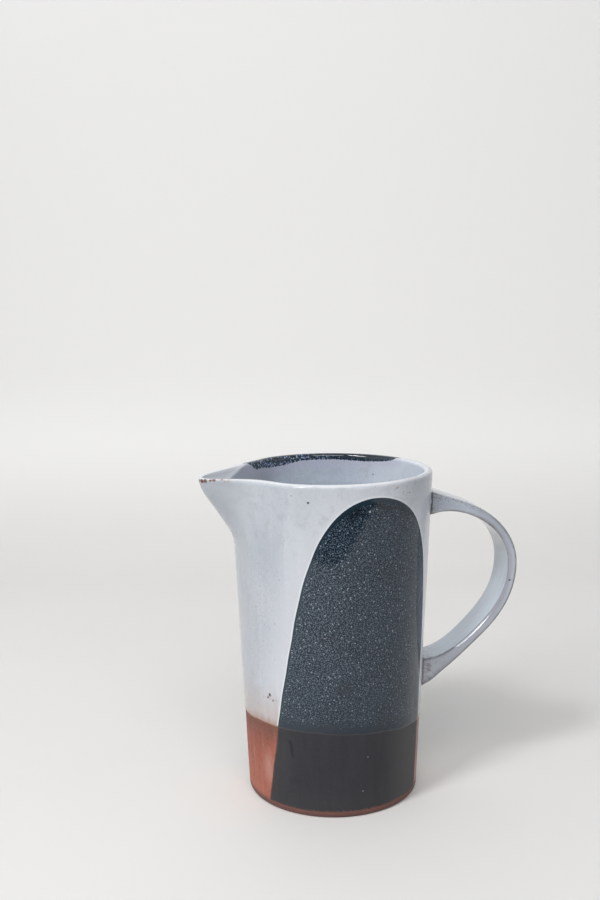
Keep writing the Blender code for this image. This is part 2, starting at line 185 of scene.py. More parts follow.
def surface(q, angle):
    """The finished surface, followed once round its section.

    q 0 to 1 is the outside wall from the table up, 1 to 2 the lip, 2 to 3 the
    inside wall going down, 3 to 4 the inside corner and 4 to 5 the floor.
    """
    q, angle = np.broadcast_arrays(np.asarray(q, float), np.asarray(angle, float))
    points = np.empty(q.shape + (3,))
    part = q <= 1.0
    z, a = SHOULDER * q[part], angle[part]
    points[part] = mid_wall(z, a) + wall_normal(z, a) * (wall(z) / 2.0)[:, None]
    part = (q > 1.0) & (q <= 2.0)
    turn, a = np.pi * (q[part] - 1.0), angle[part]
    z = np.full(a.shape, SHOULDER)
    power = 2.0 / LIP_SQUARE
    thick = thickness(z, a)
    inward = thick / 2.0 * (1.0 - np.sign(np.cos(turn)) * np.abs(np.cos(turn)) ** power)
    points[part] = mid_wall(z, a) + wall_normal(z, a) * (wall(z) / 2.0 - inward)[:, None]
    points[part, 2] += LIP_RISE * (0.35 + 0.65 * thick / wall(z)) * np.abs(np.sin(turn)) ** power
    part = (q > 2.0) & (q <= 3.0)
    z, a = SHOULDER + (CORNER_TOP - SHOULDER) * (q[part] - 2.0), angle[part]
    points[part] = mid_wall(z, a) + wall_normal(z, a) * (wall(z) / 2.0 - thickness(z, a))[:, None]
    edge = outer_radius(CORNER_TOP) - wall(CORNER_TOP)
    part = (q > 3.0) & (q <= 4.0)
    turn, a = np.pi / 2.0 * (q[part] - 3.0), angle[part]
    radius = edge - INNER_CORNER * (1.0 - np.cos(turn))
    points[part] = np.stack([radius * np.cos(a), radius * np.sin(a),
                             CORNER_TOP - INNER_CORNER * np.sin(turn)], axis=-1)
    part = q > 4.0
    radius, a = (edge - INNER_CORNER) * (5.0 - q[part]), angle[part]
    points[part] = np.stack([radius * np.cos(a), radius * np.sin(a),
                             np.full(a.shape, FLOOR_LEVEL)], axis=-1)
    return points


def normal(q, angle):
    q, angle = np.broadcast_arrays(np.asarray(q, float), np.asarray(angle, float))
    step = 0.003
    across = surface(q, angle + step) - surface(q, angle - step)
    along = surface(np.minimum(q + step, 4.0), angle) - surface(np.maximum(q - step, 0.0), angle)
    out = np.cross(across, along)
    size = np.linalg.norm(out, axis=-1, keepdims=True)
    out = out / np.maximum(size, 1e-15)
    out[q > 3.995] = (0.0, 0.0, 1.0)
    return out


def lip_run(q):
    """Millimetres of surface from the crest of the lip to a place inside."""
    quarter = math.pi / 4.0 * (WALL_AT_LIP / 2.0 + LIP_RISE)
    return np.where(q < 2.0, (q - 1.5) / 0.5 * quarter,
                    quarter + (q - 2.0) * (SHOULDER - CORNER_TOP)) / MM


def throat(q, angle):
    """Millimetres above the fold inside the spout, where it was drawn out of the wall."""
    aside = np.abs((np.degrees(angle) % 360.0) - 180.0)
    ahead = 30.2 - aside
    return np.where(aside < 36.0, 2.0 + 0.40 * ahead + 0.012 * ahead * np.abs(ahead) - lip_run(q), -9.0)


def uneven(q, angle, points):
    """Small unevenness left by the hands, along the surface's normal."""
    z = points[..., 2]
    high = z / HEIGHT
    slow = (0.060 * np.sin(2.0 * angle + 0.7 + 9.0 * high)
            + 0.045 * np.sin(3.0 * angle - 1.1 - 14.0 * high)
            + 0.030 * np.sin(5.0 * angle + 2.0 + 21.0 * high))
    outside = 0.012 * np.sin(2.0 * np.pi * z / (5.2 * MM) + angle)
    rings = 0.085 * np.sin(2.0 * np.pi * z / (7.4 * MM) + angle + 0.8 * np.sin(2.0 * angle))
    lip = (q > 0.97) & (q < 2.0)
    inner = ease((q - 2.0) / 0.12) * (q < 3.0)
    swell = slow * ease(z / (14.0 * MM)) + np.where(q < 1.0, outside, 0.0) * (1.0 - lip)
    fold = -0.40 * ease(throat(q, angle) / 2.2) * ease((lip_run(q) - 0.6) / 2.0)
    return (np.where(q < 3.0, swell, 0.0) + rings * inner + fold) * MM


def skin(q, angle, depth):
    """A point at a depth under the glazed surface."""
    points = surface(q, angle)
    q, angle = np.broadcast_arrays(np.asarray(q, float), np.asarray(angle, float))
    rise = uneven(q, angle, points) - depth
    return points + normal(q, angle) * rise[..., None]


# ---- outlines ----------------------------------------------------------------
def glaze_edge(angle):
    shake = (0.15 * np.sin(9.0 * angle + 0.4) + 0.10 * np.sin(17.0 * angle + 2.1)
             + 0.07 * np.sin(31.0 * angle + 4.0) + 0.05 * np.sin(67.0 * angle + 1.0))
    return (GLAZE_LINE + shake * MM
            + GLAZE_TILT * outer_radius(GLAZE_LINE) * np.cos(angle - GLAZE_HIGH_SIDE))


def front_left(z):
    rest = np.sqrt(1.0 - np.clip(z / FRONT_TOP, 0.0, 1.0) ** 10)
    shake = 0.16 * np.sin(z / (8.5 * MM) + 1.0) + 0.10 * np.sin(z / (3.1 * MM))
    return FRONT_FIELD - (FRONT_LEFT_FOOT - FRONT_LEFT_LEAN * z / MM + np.radians(shake)) * rest


def front_right(z):
    rest = np.sqrt(1.0 - np.clip(z / FRONT_TOP, 0.0, 1.0) ** 6)
    shake = 0.16 * np.sin(z / (7.5 * MM) + 2.4) + 0.10 * np.sin(z / (3.4 * MM) + 1.0)
    return FRONT_FIELD + (FRONT_RIGHT + np.radians(shake)) * rest


def back_half(z):
    return BACK_RIM + (BACK_FOOT - BACK_RIM) * (1.0 - np.clip(z / SHOULDER, 0.0, 1.0))


def back_left(z):
    return BACK_FIELD + back_half(z) + np.radians(0.18 * np.sin(z / (8.0 * MM) + 0.6))


def back_right(z):
    return BACK_FIELD - back_half(z) + np.radians(0.18 * np.sin(z / (7.0 * MM) + 3.0))


LIP_QUARTER = math.pi / 4.0 * (WALL_AT_LIP / 2.0 + LIP_RISE)


def inside_q(run):
    """q at a length of surface, measured from the top of the lip to the inside."""
    return np.where(run < LIP_QUARTER, 1.5 + 0.5 * run / LIP_QUARTER,
                    2.0 + (run - LIP_QUARTER) / (SHOULDER - CORNER_TOP))


def back_run(angle):
    """How far the far field runs inside from the top of the lip, unevenly."""
    bend = np.degrees(angle)
    run = np.interp(bend, (31.3, 35.5, 45.0, 56.0, 66.0, 78.0, 100.0, 108.0, 114.0, 126.0,
                           133.0, 140.0, 145.0, 148.7),
                    (0.3, 3.2, 4.3, 5.0, 4.8, 4.3, 4.4, 5.4, 6.2, 6.4, 5.6, 5.6, 3.2, 0.3))
    ragged = (0.22 * np.sin(1.9 * bend + 0.3) + 0.20 * np.sin(3.7 * bend + 1.9)
              + 0.16 * np.sin(6.1 * bend + 0.7) + 0.10 * np.sin(11.3 * bend))
    more = 0.35 + 0.65 * ease((bend - 90.0) / 25.0)
    end = np.minimum(1.0, run / 2.5)
    return np.maximum(0.2, run + ragged * more * end) * MM


# ---- mesh helpers ---------------------------------------------------------------
def quads(index, wrap=False):
    """Faces of a grid of vertex numbers, with the column pairs of each face."""
    if wrap:
        index = np.concatenate([index, index[:, :1]], axis=1)
    return np.stack([index[:-1, :-1], index[:-1, 1:], index[1:, 1:], index[1:, :-1]],
                    axis=-1).reshape(-1, 4)


def corner_uv(u, v, wrap=False):
    if wrap:
        u = np.concatenate([u, np.ones_like(u[:, :1])], axis=1)
        v = np.concatenate([v, v[:, :1]], axis=1)
    pair = np.stack([u, v], axis=-1)
    return np.stack([pair[:-1, :-1], pair[:-1, 1:], pair[1:, 1:], pair[1:, :-1]],
                    axis=2).reshape(-1, 4, 2)


class Coat:
    """Gathers grids of points into one closed mesh with its own bake map."""

    def __init__(self, name, *fields):
        self.name = name
        self.points, self.faces, self.uvs = [], [], []
        self.fields = {f: [] for f in fields}
        self.count = 0

    def add(self, points, fields):
        flat = points.reshape(-1, 3)
        index = np.arange(len(flat)).reshape(points.shape[:2]) + self.count
        self.points.append(flat)
        self.count += len(flat)
        for name, kept in self.fields.items():
            value = fields.get(name, 0.0)
            kept.append(np.broadcast_to(value, points.shape[:2]).reshape(-1))
        return index

    def sheet(self, points, u, v, fields, wrap=False):
        index = self.add(points, fields)
        self.faces.append(quads(index, wrap))
        self.uvs.append(corner_uv(u, v * 0.94, wrap))
        return index

    def underside(self, top, points, u, v, fields, wrap=False, left=True, right=True,
                  first=True, last=True):
        """The hidden side of a coat, and the narrow faces that close its edges.

        left and right may be a mask of the rows that are closed there.
        """
        index = self.add(points, fields)
        faces = quads(index, wrap)[:, ::-1]
        self.faces.append(faces)
        self.uvs.append(corner_uv(u, 0.950 + 0.020 * v, wrap)[:, ::-1])
        edges = []
        loop = (lambda row: np.append(row, row[:1])) if wrap else (lambda row: row)
        if first:
            edges.append((loop(top[0])[::-1], loop(index[0])[::-1]))
        if last:
            edges.append((loop(top[-1]), loop(index[-1])))
        if not wrap:
            rows = np.arange(len(top))
            for open_side, column, flip in ((left, 0, False), (right, -1, True)):
                keep = rows if open_side is True else rows[np.asarray(open_side)]
                if open_side is False or len(keep) < 2:
                    continue
                a, b = top[keep, column], index[keep, column]
                edges.append((a[::-1], b[::-1]) if flip else (a, b))
        for a, b in edges:
            made = np.stack([a[:-1], a[1:], b[1:], b[:-1]], axis=-1)
            t = np.linspace(0.0, 1.0, len(a))
            uv = np.empty((len(made), 4, 2))
            uv[:, 0], uv[:, 1] = np.c_[t[:-1], 0 * t[1:] + 0.98], np.c_[t[1:], 0 * t[1:] + 0.98]
            uv[:, 2], uv[:, 3] = np.c_[t[1:], 0 * t[1:] + 0.995], np.c_[t[:-1], 0 * t[1:] + 0.995]
            self.faces.append(made)
            self.uvs.append(uv)
        return index

    def build(self, material, replaces, sharp=38.0, weld=2e-7):
        points = np.concatenate(self.points)
        faces = np.concatenate(self.faces)
        uvs = np.concatenate(self.uvs)
        mesh = bpy.data.meshes.new(self.name)
        mesh.from_pydata(points.tolist(), [], faces.tolist())
        layer = mesh.uv_layers.new(name="OFBake")
        layer.data.foreach_set("uv", uvs.reshape(-1).astype(np.float32))
        for name, kept in self.fields.items():
            attribute = mesh.attributes.new(name, "FLOAT", "POINT")
            attribute.data.foreach_set("value", np.concatenate(kept).astype(np.float32))
        bm = bmesh.new()
        bm.from_mesh(mesh)
        bmesh.ops.remove_doubles(bm, verts=bm.verts, dist=weld)
        bmesh.ops.recalc_face_normals(bm, faces=bm.faces)
        bm.to_mesh(mesh)
        bm.free()
        mesh.shade_smooth()
        mesh.set_sharp_from_angle(angle=math.radians(sharp))
        mesh.materials.append(material)
        obj = bpy.data.objects.new(self.name, mesh)
        bpy.context.scene.collection.objects.link(obj)
        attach(obj, "root")
        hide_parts(*replaces)
        return obj


def rounded(distance, depth, radius):
    """Extra depth of a coat near its edge, as a quarter round."""
    near = np.clip(1.0 - distance / radius, 0.0, 1.0)
    return depth * (1.0 - np.sqrt(np.maximum(0.0, 1.0 - near * near)))


def shares(length, step):
    """Shares of a length, with fine steps at both ends, in millimetres."""
    fine = [0.0, 0.15, 0.32, 0.5, 0.7, 0.95, 1.3, 1.8, 2.5, 3.4, 4.5]
    middle = np.linspace(4.5, length - 4.5, max(2, round((length - 9.0) / step)) + 1)[1:-1]
    marks = np.concatenate([fine, middle, length - np.array(fine[::-1])])
    return marks / length


def lay(rows, near, far, share):
    """q, angle and height of each grid point between two edges.

    A row from -2 to -1 is under the glaze line, -1 is on it, -1 to 0 leads up
    to LEVEL, and from there on the row is q.
    """
    rows = np.asarray(rows, float)[:, None]
    z = np.where(rows < 0.0, LEVEL, SHOULDER * np.minimum(rows, 1.0)) + 0.0 * share[None, :]
    for _ in range(10):
        angle = near(z) + (far(z) - near(z)) * share[None, :]
        edge = glaze_edge(angle)
        low = np.where(rows >= -1.0, LEVEL + rows * (LEVEL - edge),
                       edge + (rows + 1.0) * (edge - SLIP_FOOT))
        z = np.where(rows < 0.0, low, z)
    q = np.where(rows > 1.0, rows, z / SHOULDER)
    return q, angle, z


def outline(near, low, high, count=5000):
    """Points along an outline on the wall."""
    z = np.linspace(low, high, count)
    return surface(z / SHOULDER, near(z))


def distance_to(points, outlines):
    tree = KDTree(sum(len(o) for o in outlines))
    k = 0
    for line in outlines:
        for p in line:
            tree.insert(p, k)
            k += 1
    tree.balance()
    flat = points.reshape(-1, 3)
    found = np.array([tree.find(p)[2] for p in flat])
    return found.reshape(points.shape[:-1])


# ---- rows shared by the outside coats ---------------------------------------------
SPAN = 60.0                                    # about the rise from the glaze line to LEVEL
near_line = [0.0, 0.10, 0.22, 0.38, 0.6, 0.95, 1.5, 2.3, 3.4, 5.0]
low_rows = [-1.0 + d / SPAN for d in near_line] + list(np.linspace(-1.0 + 7.0 / SPAN, 0.0, 28))[:-1]
arch = np.linspace(0.0, 0.86, 26)
arch_rows = sorted(FRONT_TOP * (1.0 - arch ** 2) ** 0.1)
high_rows = list(np.linspace(LEVEL, arch_rows[0], 22)[:-1]) + arch_rows
high_rows += [FRONT_TOP + d * MM for d in (0.15, 0.32, 0.5, 0.7, 0.95, 1.3, 1.8, 2.5, 3.4)]
lip_rows = list(np.linspace(1.0, 1.5, 13))
outside_rows = np.array(low_rows + [z / SHOULDER for z in high_rows] + lip_rows)
bare_rows = np.array([-2.0, -1.996, -1.99, -1.98, -1.965, -1.945, -1.92]
                     + list(np.linspace(-1.88, -1.06, 20))
                     + [-1.04, -1.025, -1.015, -1.008, -1.004])


def above_line(z, angle):
    return (z - glaze_edge(angle)) / MM


def v_of(points):
    """Share of the way along the rows, by length."""
    step = np.linalg.norm(np.diff(points, axis=0), axis=-1).mean(axis=1)
    run = np.concatenate([[0.0], np.cumsum(step)])
    return np.repeat((run / run[-1])[:, None], points.shape[1], axis=1)


# ---- materials ------------------------------------------------------------------
class Net:
    """A material whose colour, gloss and relief come from nodes in object space."""

    def __init__(self, name, ior=1.5):
        self.mat = bpy.data.materials.new(name)
        self.mat.use_nodes = True
        self.tree = self.mat.node_tree
        self.tree.nodes.clear()
        self.shader = self.tree.nodes.new("ShaderNodeBsdfPrincipled")
        self.shader.inputs["IOR"].default_value = ior
        self.shader.inputs["Metallic"].default_value = 0.0
        out = self.tree.nodes.new("ShaderNodeOutputMaterial")
        self.tree.links.new(self.shader.outputs["BSDF"], out.inputs["Surface"])
        self.place = self.tree.nodes.new("ShaderNodeTexCoord").outputs["Object"]

    def put(self, socket, value):
        if isinstance(value, bpy.types.NodeSocket):
            self.tree.links.new(value, socket)
        elif isinstance(value, (tuple, list)) and socket.type == "RGBA":
            socket.default_value = (*value[:3], 1.0)
        else:
            socket.default_value = value

    def math(self, operation, a, b=0.0, clamp=False):
        node = self.tree.nodes.new("ShaderNodeMath")
        node.operation = operation
        node.use_clamp = clamp
        self.put(node.inputs[0], a)
        self.put(node.inputs[1], b)
        return node.outputs[0]

    def scaled(self, x, y, z, at=None):
        node = self.tree.nodes.new("ShaderNodeVectorMath")
        node.operation = "MULTIPLY"
        self.put(node.inputs[0], at or self.place)
        node.inputs[1].default_value = (x, y, z)
        return node.outputs[0]

    def shifted(self, x, y, z, at=None):
        node = self.tree.nodes.new("ShaderNodeVectorMath")
        node.operation = "ADD"
        self.put(node.inputs[0], at or self.place)
        node.inputs[1].default_value = (x, y, z)
        return node.outputs[0]

    def noise(self, scale, detail=3.0, rough=0.5, at=None, warp=0.0):
        node = self.tree.nodes.new("ShaderNodeTexNoise")
        self.put(node.inputs["Vector"], at or self.place)
        node.inputs["Scale"].default_value = scale
        node.inputs["Detail"].default_value = detail
        node.inputs["Roughness"].default_value = rough
        node.inputs["Distortion"].default_value = warp
        return node.outputs[0]

    def cells(self, size, at=None, random=1.0, flat=False):
        """Distance to the middle of a cell, in cells, and a number for the cell."""
        node = self.tree.nodes.new("ShaderNodeTexVoronoi")
        node.voronoi_dimensions = "2D" if flat else "3D"
        self.put(node.inputs["Vector"], at or self.place)
        node.inputs["Scale"].default_value = 1.0 / size
        node.inputs["Randomness"].default_value = random
        split = self.tree.nodes.new("ShaderNodeSeparateColor")
        self.tree.links.new(node.outputs["Color"], split.inputs[0])
        return node.outputs["Distance"], split.outputs[0]

    def span(self, value, low, high, first=0.0, last=1.0):
        node = self.tree.nodes.new("ShaderNodeMapRange")
        node.interpolation_type = "SMOOTHSTEP"
        self.put(node.inputs["Value"], value)
        for name, number in (("From Min", low), ("From Max", high),
                             ("To Min", first), ("To Max", last)):
            self.put(node.inputs[name], number)
        return node.outputs["Result"]

    def blend(self, share, a, b, mode="MIX"):
        node = self.tree.nodes.new("ShaderNodeMix")
        node.data_type = "RGBA"
        node.blend_type = mode
        self.put(node.inputs[0], share)
        self.put(node.inputs[6], a)
        self.put(node.inputs[7], b)
        return node.outputs[2]

    def field(self, name):
        node = self.tree.nodes.new("ShaderNodeAttribute")
        node.attribute_name = name
        return node.outputs["Fac"]

    def axis(self, k):
        """One coordinate of the surface, in millimetres."""
        node = self.tree.nodes.new("ShaderNodeSeparateXYZ")
        self.put(node.inputs[0], self.place)
        return self.math("MULTIPLY", node.outputs[k], 1000.0)

    def pair(self, x, y):
        node = self.tree.nodes.new("ShaderNodeCombineXYZ")
        self.put(node.inputs[0], x)
        self.put(node.inputs[1], y)
        return node.outputs[0]

    def unrolled(self, radius, slant):
        """Way round the jug and height, in millimetres, turned by a slant."""
        around = self.math("MULTIPLY", self.math("ARCTAN2", self.axis(1), self.axis(0)), radius)
        up = self.axis(2)
        c, t = math.cos(math.radians(slant)), math.sin(math.radians(slant))
        return self.pair(self.math("ADD", self.math("MULTIPLY", around, c), self.math("MULTIPLY", up, t)),
                         self.math("SUBTRACT", self.math("MULTIPLY", up, c), self.math("MULTIPLY", around, t)))

    def times(self, *values):
        result = values[0]
        for value in values[1:]:
            result = self.math("MULTIPLY", result, value)
        return result

    def spot(self, point, radius, soft=0.5, shake=0.0, stretch=(1.0, 1.0, 1.0)):
        """A mask round one point of the surface."""
        at = self.place
        if stretch != (1.0, 1.0, 1.0):
            at = self.scaled(*stretch)
        node = self.tree.nodes.new("ShaderNodeVectorMath")
        node.operation = "DISTANCE"
        self.put(node.inputs[0], at)
        node.inputs[1].default_value = tuple(p * s for p, s in zip(point, stretch))
        distance = node.outputs["Value"]
        if shake:
            wave = self.noise(0.9 / radius, 3.0, 0.6)
            distance = self.math("ADD", distance,
                                 self.math("MULTIPLY", self.math("SUBTRACT", wave, 0.5),
                                           shake * radius))
        return self.span(distance, radius * (1.0 + soft), radius * (1.0 - soft))

    def union(self, masks):
        mask = masks[0]
        for other in masks[1:]:
            mask = self.math("MAXIMUM", mask, other)
        return mask

    def relief(self, height, depth, strength=1.0, below=None):
        node = self.tree.nodes.new("ShaderNodeBump")
        node.inputs["Strength"].default_value = strength
        node.inputs["Distance"].default_value = depth
        self.put(node.inputs["Height"], height)
        if below is not None:
            self.put(node.inputs["Normal"], below)
        return node.outputs["Normal"]

    def done(self, colour, roughness, normals=None):
        self.put(self.shader.inputs["Base Color"], colour)
        self.put(self.shader.inputs["Roughness"], roughness)
        if normals is not None:
            self.put(self.shader.inputs["Normal"], normals)
        return self.mat


def at(x, y, z):
    return (x * MM, y * MM, z * MM)


def pale_ground(net, cool, warm, streaks=1.0):
    """Colour of the pale glaze: slow clouds, runs of the dip, fine mottle and pinholes."""
    cloud = net.noise(34.0, 4.0, 0.55)
    colour = net.blend(net.span(cloud, 0.30, 0.70), cool, warm)
    runs = net.noise(1.0, 4.0, 0.6, at=net.scaled(120.0, 120.0, 9.0))
    colour = net.blend(net.span(runs, 0.40, 0.72, 0.0, 0.30 * streaks), colour,
                       tuple(c * 0.84 for c in cool))
    pale_runs = net.noise(1.0, 3.0, 0.6, at=net.scaled(230.0, 230.0, 17.0, net.shifted(0.4, 0.2, 0.1)))
    colour = net.blend(net.span(pale_runs, 0.52, 0.75, 0.0, 0.24 * streaks), colour, (0.74, 0.77, 0.80))
    smudge = net.noise(95.0, 5.0, 0.62, at=net.shifted(0.7, 0.3, 0.9))
    colour = net.blend(net.span(smudge, 0.52, 0.74, 0.0, 0.42), colour,
                       tuple(c * 0.80 for c in cool))
    mottle = net.noise(900.0, 3.0, 0.65)
    colour = net.blend(net.span(mottle, 0.36, 0.66, 0.0, 0.44), colour,
                       tuple(c * 0.80 for c in cool))
    # pinholes and grains of iron
    for size, radius, strength in ((3.3, 0.24, 0.75), (2.3, 0.17, 0.55)):
        near, pick = net.cells(size * MM, at=net.shifted(0.11 * size, 0.07, 0.05))
        fleck = net.span(near, 1.5 * radius / size, 0.7 * radius / size)
        colour = net.blend(net.times(fleck, net.span(pick, 0.0, 1.0, 0.35, 1.0), strength), colour,
                           (0.060, 0.052, 0.055))
    return colour


def glaze_gloss(net, low, high):
    return net.span(net.noise(90.0, 3.0), 0.3, 0.7, low, high)


def glaze_relief(net):
    peel = net.relief(net.noise(300.0, 2.0, 0.45), 0.05 * MM, 0.30)
    return net.relief(net.noise(1.0, 2.0, 0.5, at=net.scaled(95.0, 95.0, 24.0)), 0.20 * MM, 0.32, peel)


# pale glaze on the outside
net = Net("pale_glaze_outside")
above, edge, lip = net.field("above"), net.field("edge"), net.field("lip")
colour = pale_ground(net, (0.478, 0.516, 0.580), (0.547, 0.571, 0.628))
colour = net.blend(net.span(edge, 22.0, 1.0, 0.0, 0.62), colour, (0.72, 0.74, 0.795))
high_up = net.times(net.span(net.axis(2), 118.0, 158.0), net.span(net.axis(0), 20.0, 4.0), 0.36)
colour = net.blend(high_up, colour, (0.720, 0.760, 0.815))
colour = net.blend(net.span(net.axis(0), -40.0, -58.0, 0.0, 0.70), colour, (0.385, 0.420, 0.468))
# smudged towards the rim
smudged = net.times(net.span(net.noise(170.0, 4.0, 0.68), 0.48, 0.70), net.span(net.axis(2), 124.0, 150.0))
colour = net.blend(net.math("MULTIPLY", smudged, 0.34), colour, (0.385, 0.410, 0.450))
# the coat thins out in warm streaks towards the glaze line
drips = net.noise(1.0, 4.0, 0.65, at=net.scaled(520.0, 520.0, 26.0))
warm_reach = net.math("ADD", above, net.math("MULTIPLY", net.math("SUBTRACT", drips, 0.5), -26.0))
colour = net.blend(net.span(warm_reach, 25.0, 2.0, 0.0, 0.66), colour, (0.480, 0.400, 0.375))
thin = net.math("ADD", above, net.math("MULTIPLY", net.math("SUBTRACT", drips, 0.5), -7.0))
colour = net.blend(net.span(thin, 5.0, 0.4, 0.0, 0.76), colour, (0.400, 0.265, 0.205))
colour = net.blend(net.span(above, 1.50, 0.30, 0.0, 0.88), colour, (0.300, 0.115, 0.062))
# thick pale line where the glaze has drawn up against the dark fields
bead = net.times(net.span(edge, 1.05, 0.45), net.span(above, 0.3, 2.0))
colour = net.blend(net.math("MULTIPLY", bead, 0.62), colour, (0.82, 0.86, 0.91))
# painted highlight: the crest of the lip is painted paler
colour = net.blend(net.span(lip, 0.0, 1.0, 0.0, 0.68), colour, (0.80, 0.82, 0.86))
# worn through to the clay on the spout's lip, brown grains on the lip near the handle
chips = net.union([net.spot(at(*c), r * MM, 0.30, 1.0, (1.0, 0.8, 1.5)) for c, r in (
    ((-68.3, -2.4, 166.2), 1.0), ((-67.2, -5.4, 166.5), 1.5), ((-65.6, -7.9, 166.9), 1.4),
    ((-63.2, -10.5, 167.5), 0.9), ((-61.6, -11.9, 167.9), 1.1), ((-57.7, -15.0, 168.4), 0.5))])
colour = net.blend(net.math("MULTIPLY", chips, 0.95), colour, (0.165, 0.070, 0.045))
rubbed = net.times(net.spot(at(-58.0, -14.6, 168.3), 6.0 * MM, 0.4, 0.0, (1.0, 1.0, 5.0)),
                   net.span(net.noise(560.0, 3.0, 0.6), 0.44, 0.60))
colour = net.blend(net.math("MULTIPLY", rubbed, 0.55), colour, (0.330, 0.205, 0.165))
# painted shade: darker on the right, high up towards the rim
colour = net.blend(net.times(net.span(net.axis(0), 18.0, 36.0), net.span(net.axis(2), 140.0, 160.0), 0.40), colour,
                   (0.310, 0.340, 0.378))
grains = net.times(net.spot(at(29.0, -43.4, 168.4), 7.0 * MM, 0.5),
                   net.span(net.noise(700.0, 3.0, 0.6), 0.56, 0.66))
colour = net.blend(net.math("MULTIPLY", grains, 0.75), colour, (0.190, 0.120, 0.095))
pinholes = net.union([net.spot(at(*c), r * MM, 0.30, 0.5) for c, r in (
    ((-19.58, -48.18, 161.6), 0.55), ((-58.5, -7.7, 151.0), 0.30), ((-27.1, -44.35, 164.6), 0.28),
    ((-62.0, -10.05, 160.0), 0.25), ((-32.6, -38.2, 122.1), 0.24), ((-34.6, -35.4, 99.3), 0.24),
    ((-42.8, -25.4, 105.4), 0.22), ((-36.8, -32.9, 96.1), 0.22))])
colour = net.blend(net.math("MULTIPLY", pinholes, 0.92), colour, (0.030, 0.032, 0.040))
# spots of iron above the line, and a faint tide mark beside them
tide = net.times(net.spot(at(-37.0, -30.3, 59.0), 5.5 * MM, 0.4),
                 net.span(net.math("ABSOLUTE", net.math("SUBTRACT", net.axis(2), 59.1)), 0.45, 0.10))
colour = net.blend(net.math("MULTIPLY", tide, 0.22), colour, (0.270, 0.150, 0.110))
iron = net.union([net.spot(at(-37.0, -29.9, 61.0), 0.85 * MM, 0.35, 0.9),
                  net.spot(at(-35.6, -31.4, 58.4), 0.50 * MM, 0.35, 0.8)])
colour = net.blend(net.math("MULTIPLY", iron, 0.90), colour, (0.040, 0.026, 0.022))
colour = net.blend(net.math("MULTIPLY", net.spot(at(-37.7, -28.9, 59.5), 0.65 * MM, 0.4, 0.8), 0.85),
                   colour, (0.210, 0.075, 0.045))
outside_glaze = net.done(colour, glaze_gloss(net, 0.05, 0.09), glaze_relief(net))

# pale glaze inside
net = Net("pale_glaze_lining")
run, edge = net.field("run"), net.field("edge")
colour = pale_ground(net, (0.472, 0.536, 0.632), (0.518, 0.571, 0.656), 0.6)
# painted light: paler on the right of the inside
colour = net.blend(net.span(net.axis(0), 14.0, 44.0, 0.0, 0.58), colour, (0.72, 0.77, 0.84))
# painted shade: darker on the spout's side of the inside
colour = net.blend(net.span(net.axis(0), -18.0, -34.0, 0.0, 0.55), colour, (0.345, 0.350, 0.405))
# painted light: paler past the fold, on the spout's side
colour = net.blend(net.span(net.field("past"), -0.9, 1.0, 0.0, 0.85), colour, (0.78, 0.80, 0.85))
smudge = net.times(net.span(net.noise(120.0, 4.0, 0.6), 0.56, 0.72), net.span(run, 3.0, 8.0))
colour = net.blend(net.math("MULTIPLY", smudge, 0.42), colour, (0.37, 0.345, 0.365))
colour = net.blend(net.span(edge, 7.0, 0.5, 0.0, 0.45), colour, (0.46, 0.44, 0.56))
# painted highlight: paler along the crest of the lip
colour = net.blend(net.span(run, 2.4, 0.4, 0.0, 0.55), colour, (0.72, 0.74, 0.765))
# painted shade: darker deep inside
colour = net.blend(net.span(run, 60.0, 140.0, 0.0, 0.35), colour, (0.36, 0.42, 0.49))
colour = net.blend(net.math("MULTIPLY", net.spot(at(30.3, 36.7, 159.7), 0.38 * MM, 0.3, 0.5), 0.9),
                   colour, (0.03, 0.032, 0.04))
lining_glaze = net.done(colour, glaze_gloss(net, 0.11, 0.19), glaze_relief(net))

# pale glaze on the strap, with painted light and shade on its inner face and narrow sides, and thin on its edges
net = Net("pale_glaze_strap", ior=1.85)
root, ridge, crease_shade = net.field("root"), net.field("ridge"), net.field("crease_shade")
colour = pale_ground(net, (0.455, 0.512, 0.588), (0.515, 0.560, 0.625), 0.5)
reach, hollow, narrow = net.field("reach"), net.field("hollow"), net.field("narrow")
# painted light on the inner face: paler and bluer, palest along the lower arm; a warm grey band of painted shade under
# the bend
under = net.blend(net.span(reach, 0.48, 0.62), (0.520, 0.595, 0.680), (0.605, 0.685, 0.780))
under = net.blend(net.times(net.span(reach, 0.28, 0.33), net.span(reach, 0.43, 0.36), 0.6), under, (0.440, 0.430, 0.405))
colour = net.blend(net.math("MULTIPLY", hollow, 0.62), colour, under)
# painted light and shade on the narrow sides: paler near the top, darker along the lower arm
flank = net.blend(net.span(reach, 0.12, 0.26), (0.540, 0.585, 0.680), (0.478, 0.514, 0.598))
flank = net.blend(net.span(reach, 0.50, 0.66), flank, (0.392, 0.400, 0.470))
colour = net.blend(net.math("MULTIPLY", narrow, 0.68), colour, flank)
colour = net.blend(net.math("MULTIPLY", net.field("shade"), 0.55), colour, (0.300, 0.292, 0.340))
# drawn out along its length, as the fingers pulled it
drawn = net.noise(1.0, 4.0, 0.62, at=net.pair(net.math("MULTIPLY", net.field("along"), 0.055),
                                              net.math("MULTIPLY", net.field("girth"), 0.75)))
colour = net.blend(net.span(drawn, 0.44, 0.74, 0.0, 0.26), colour, (0.320, 0.325, 0.365))
colour = net.blend(net.span(drawn, 0.48, 0.26, 0.0, 0.22), colour, (0.720, 0.760, 0.820))
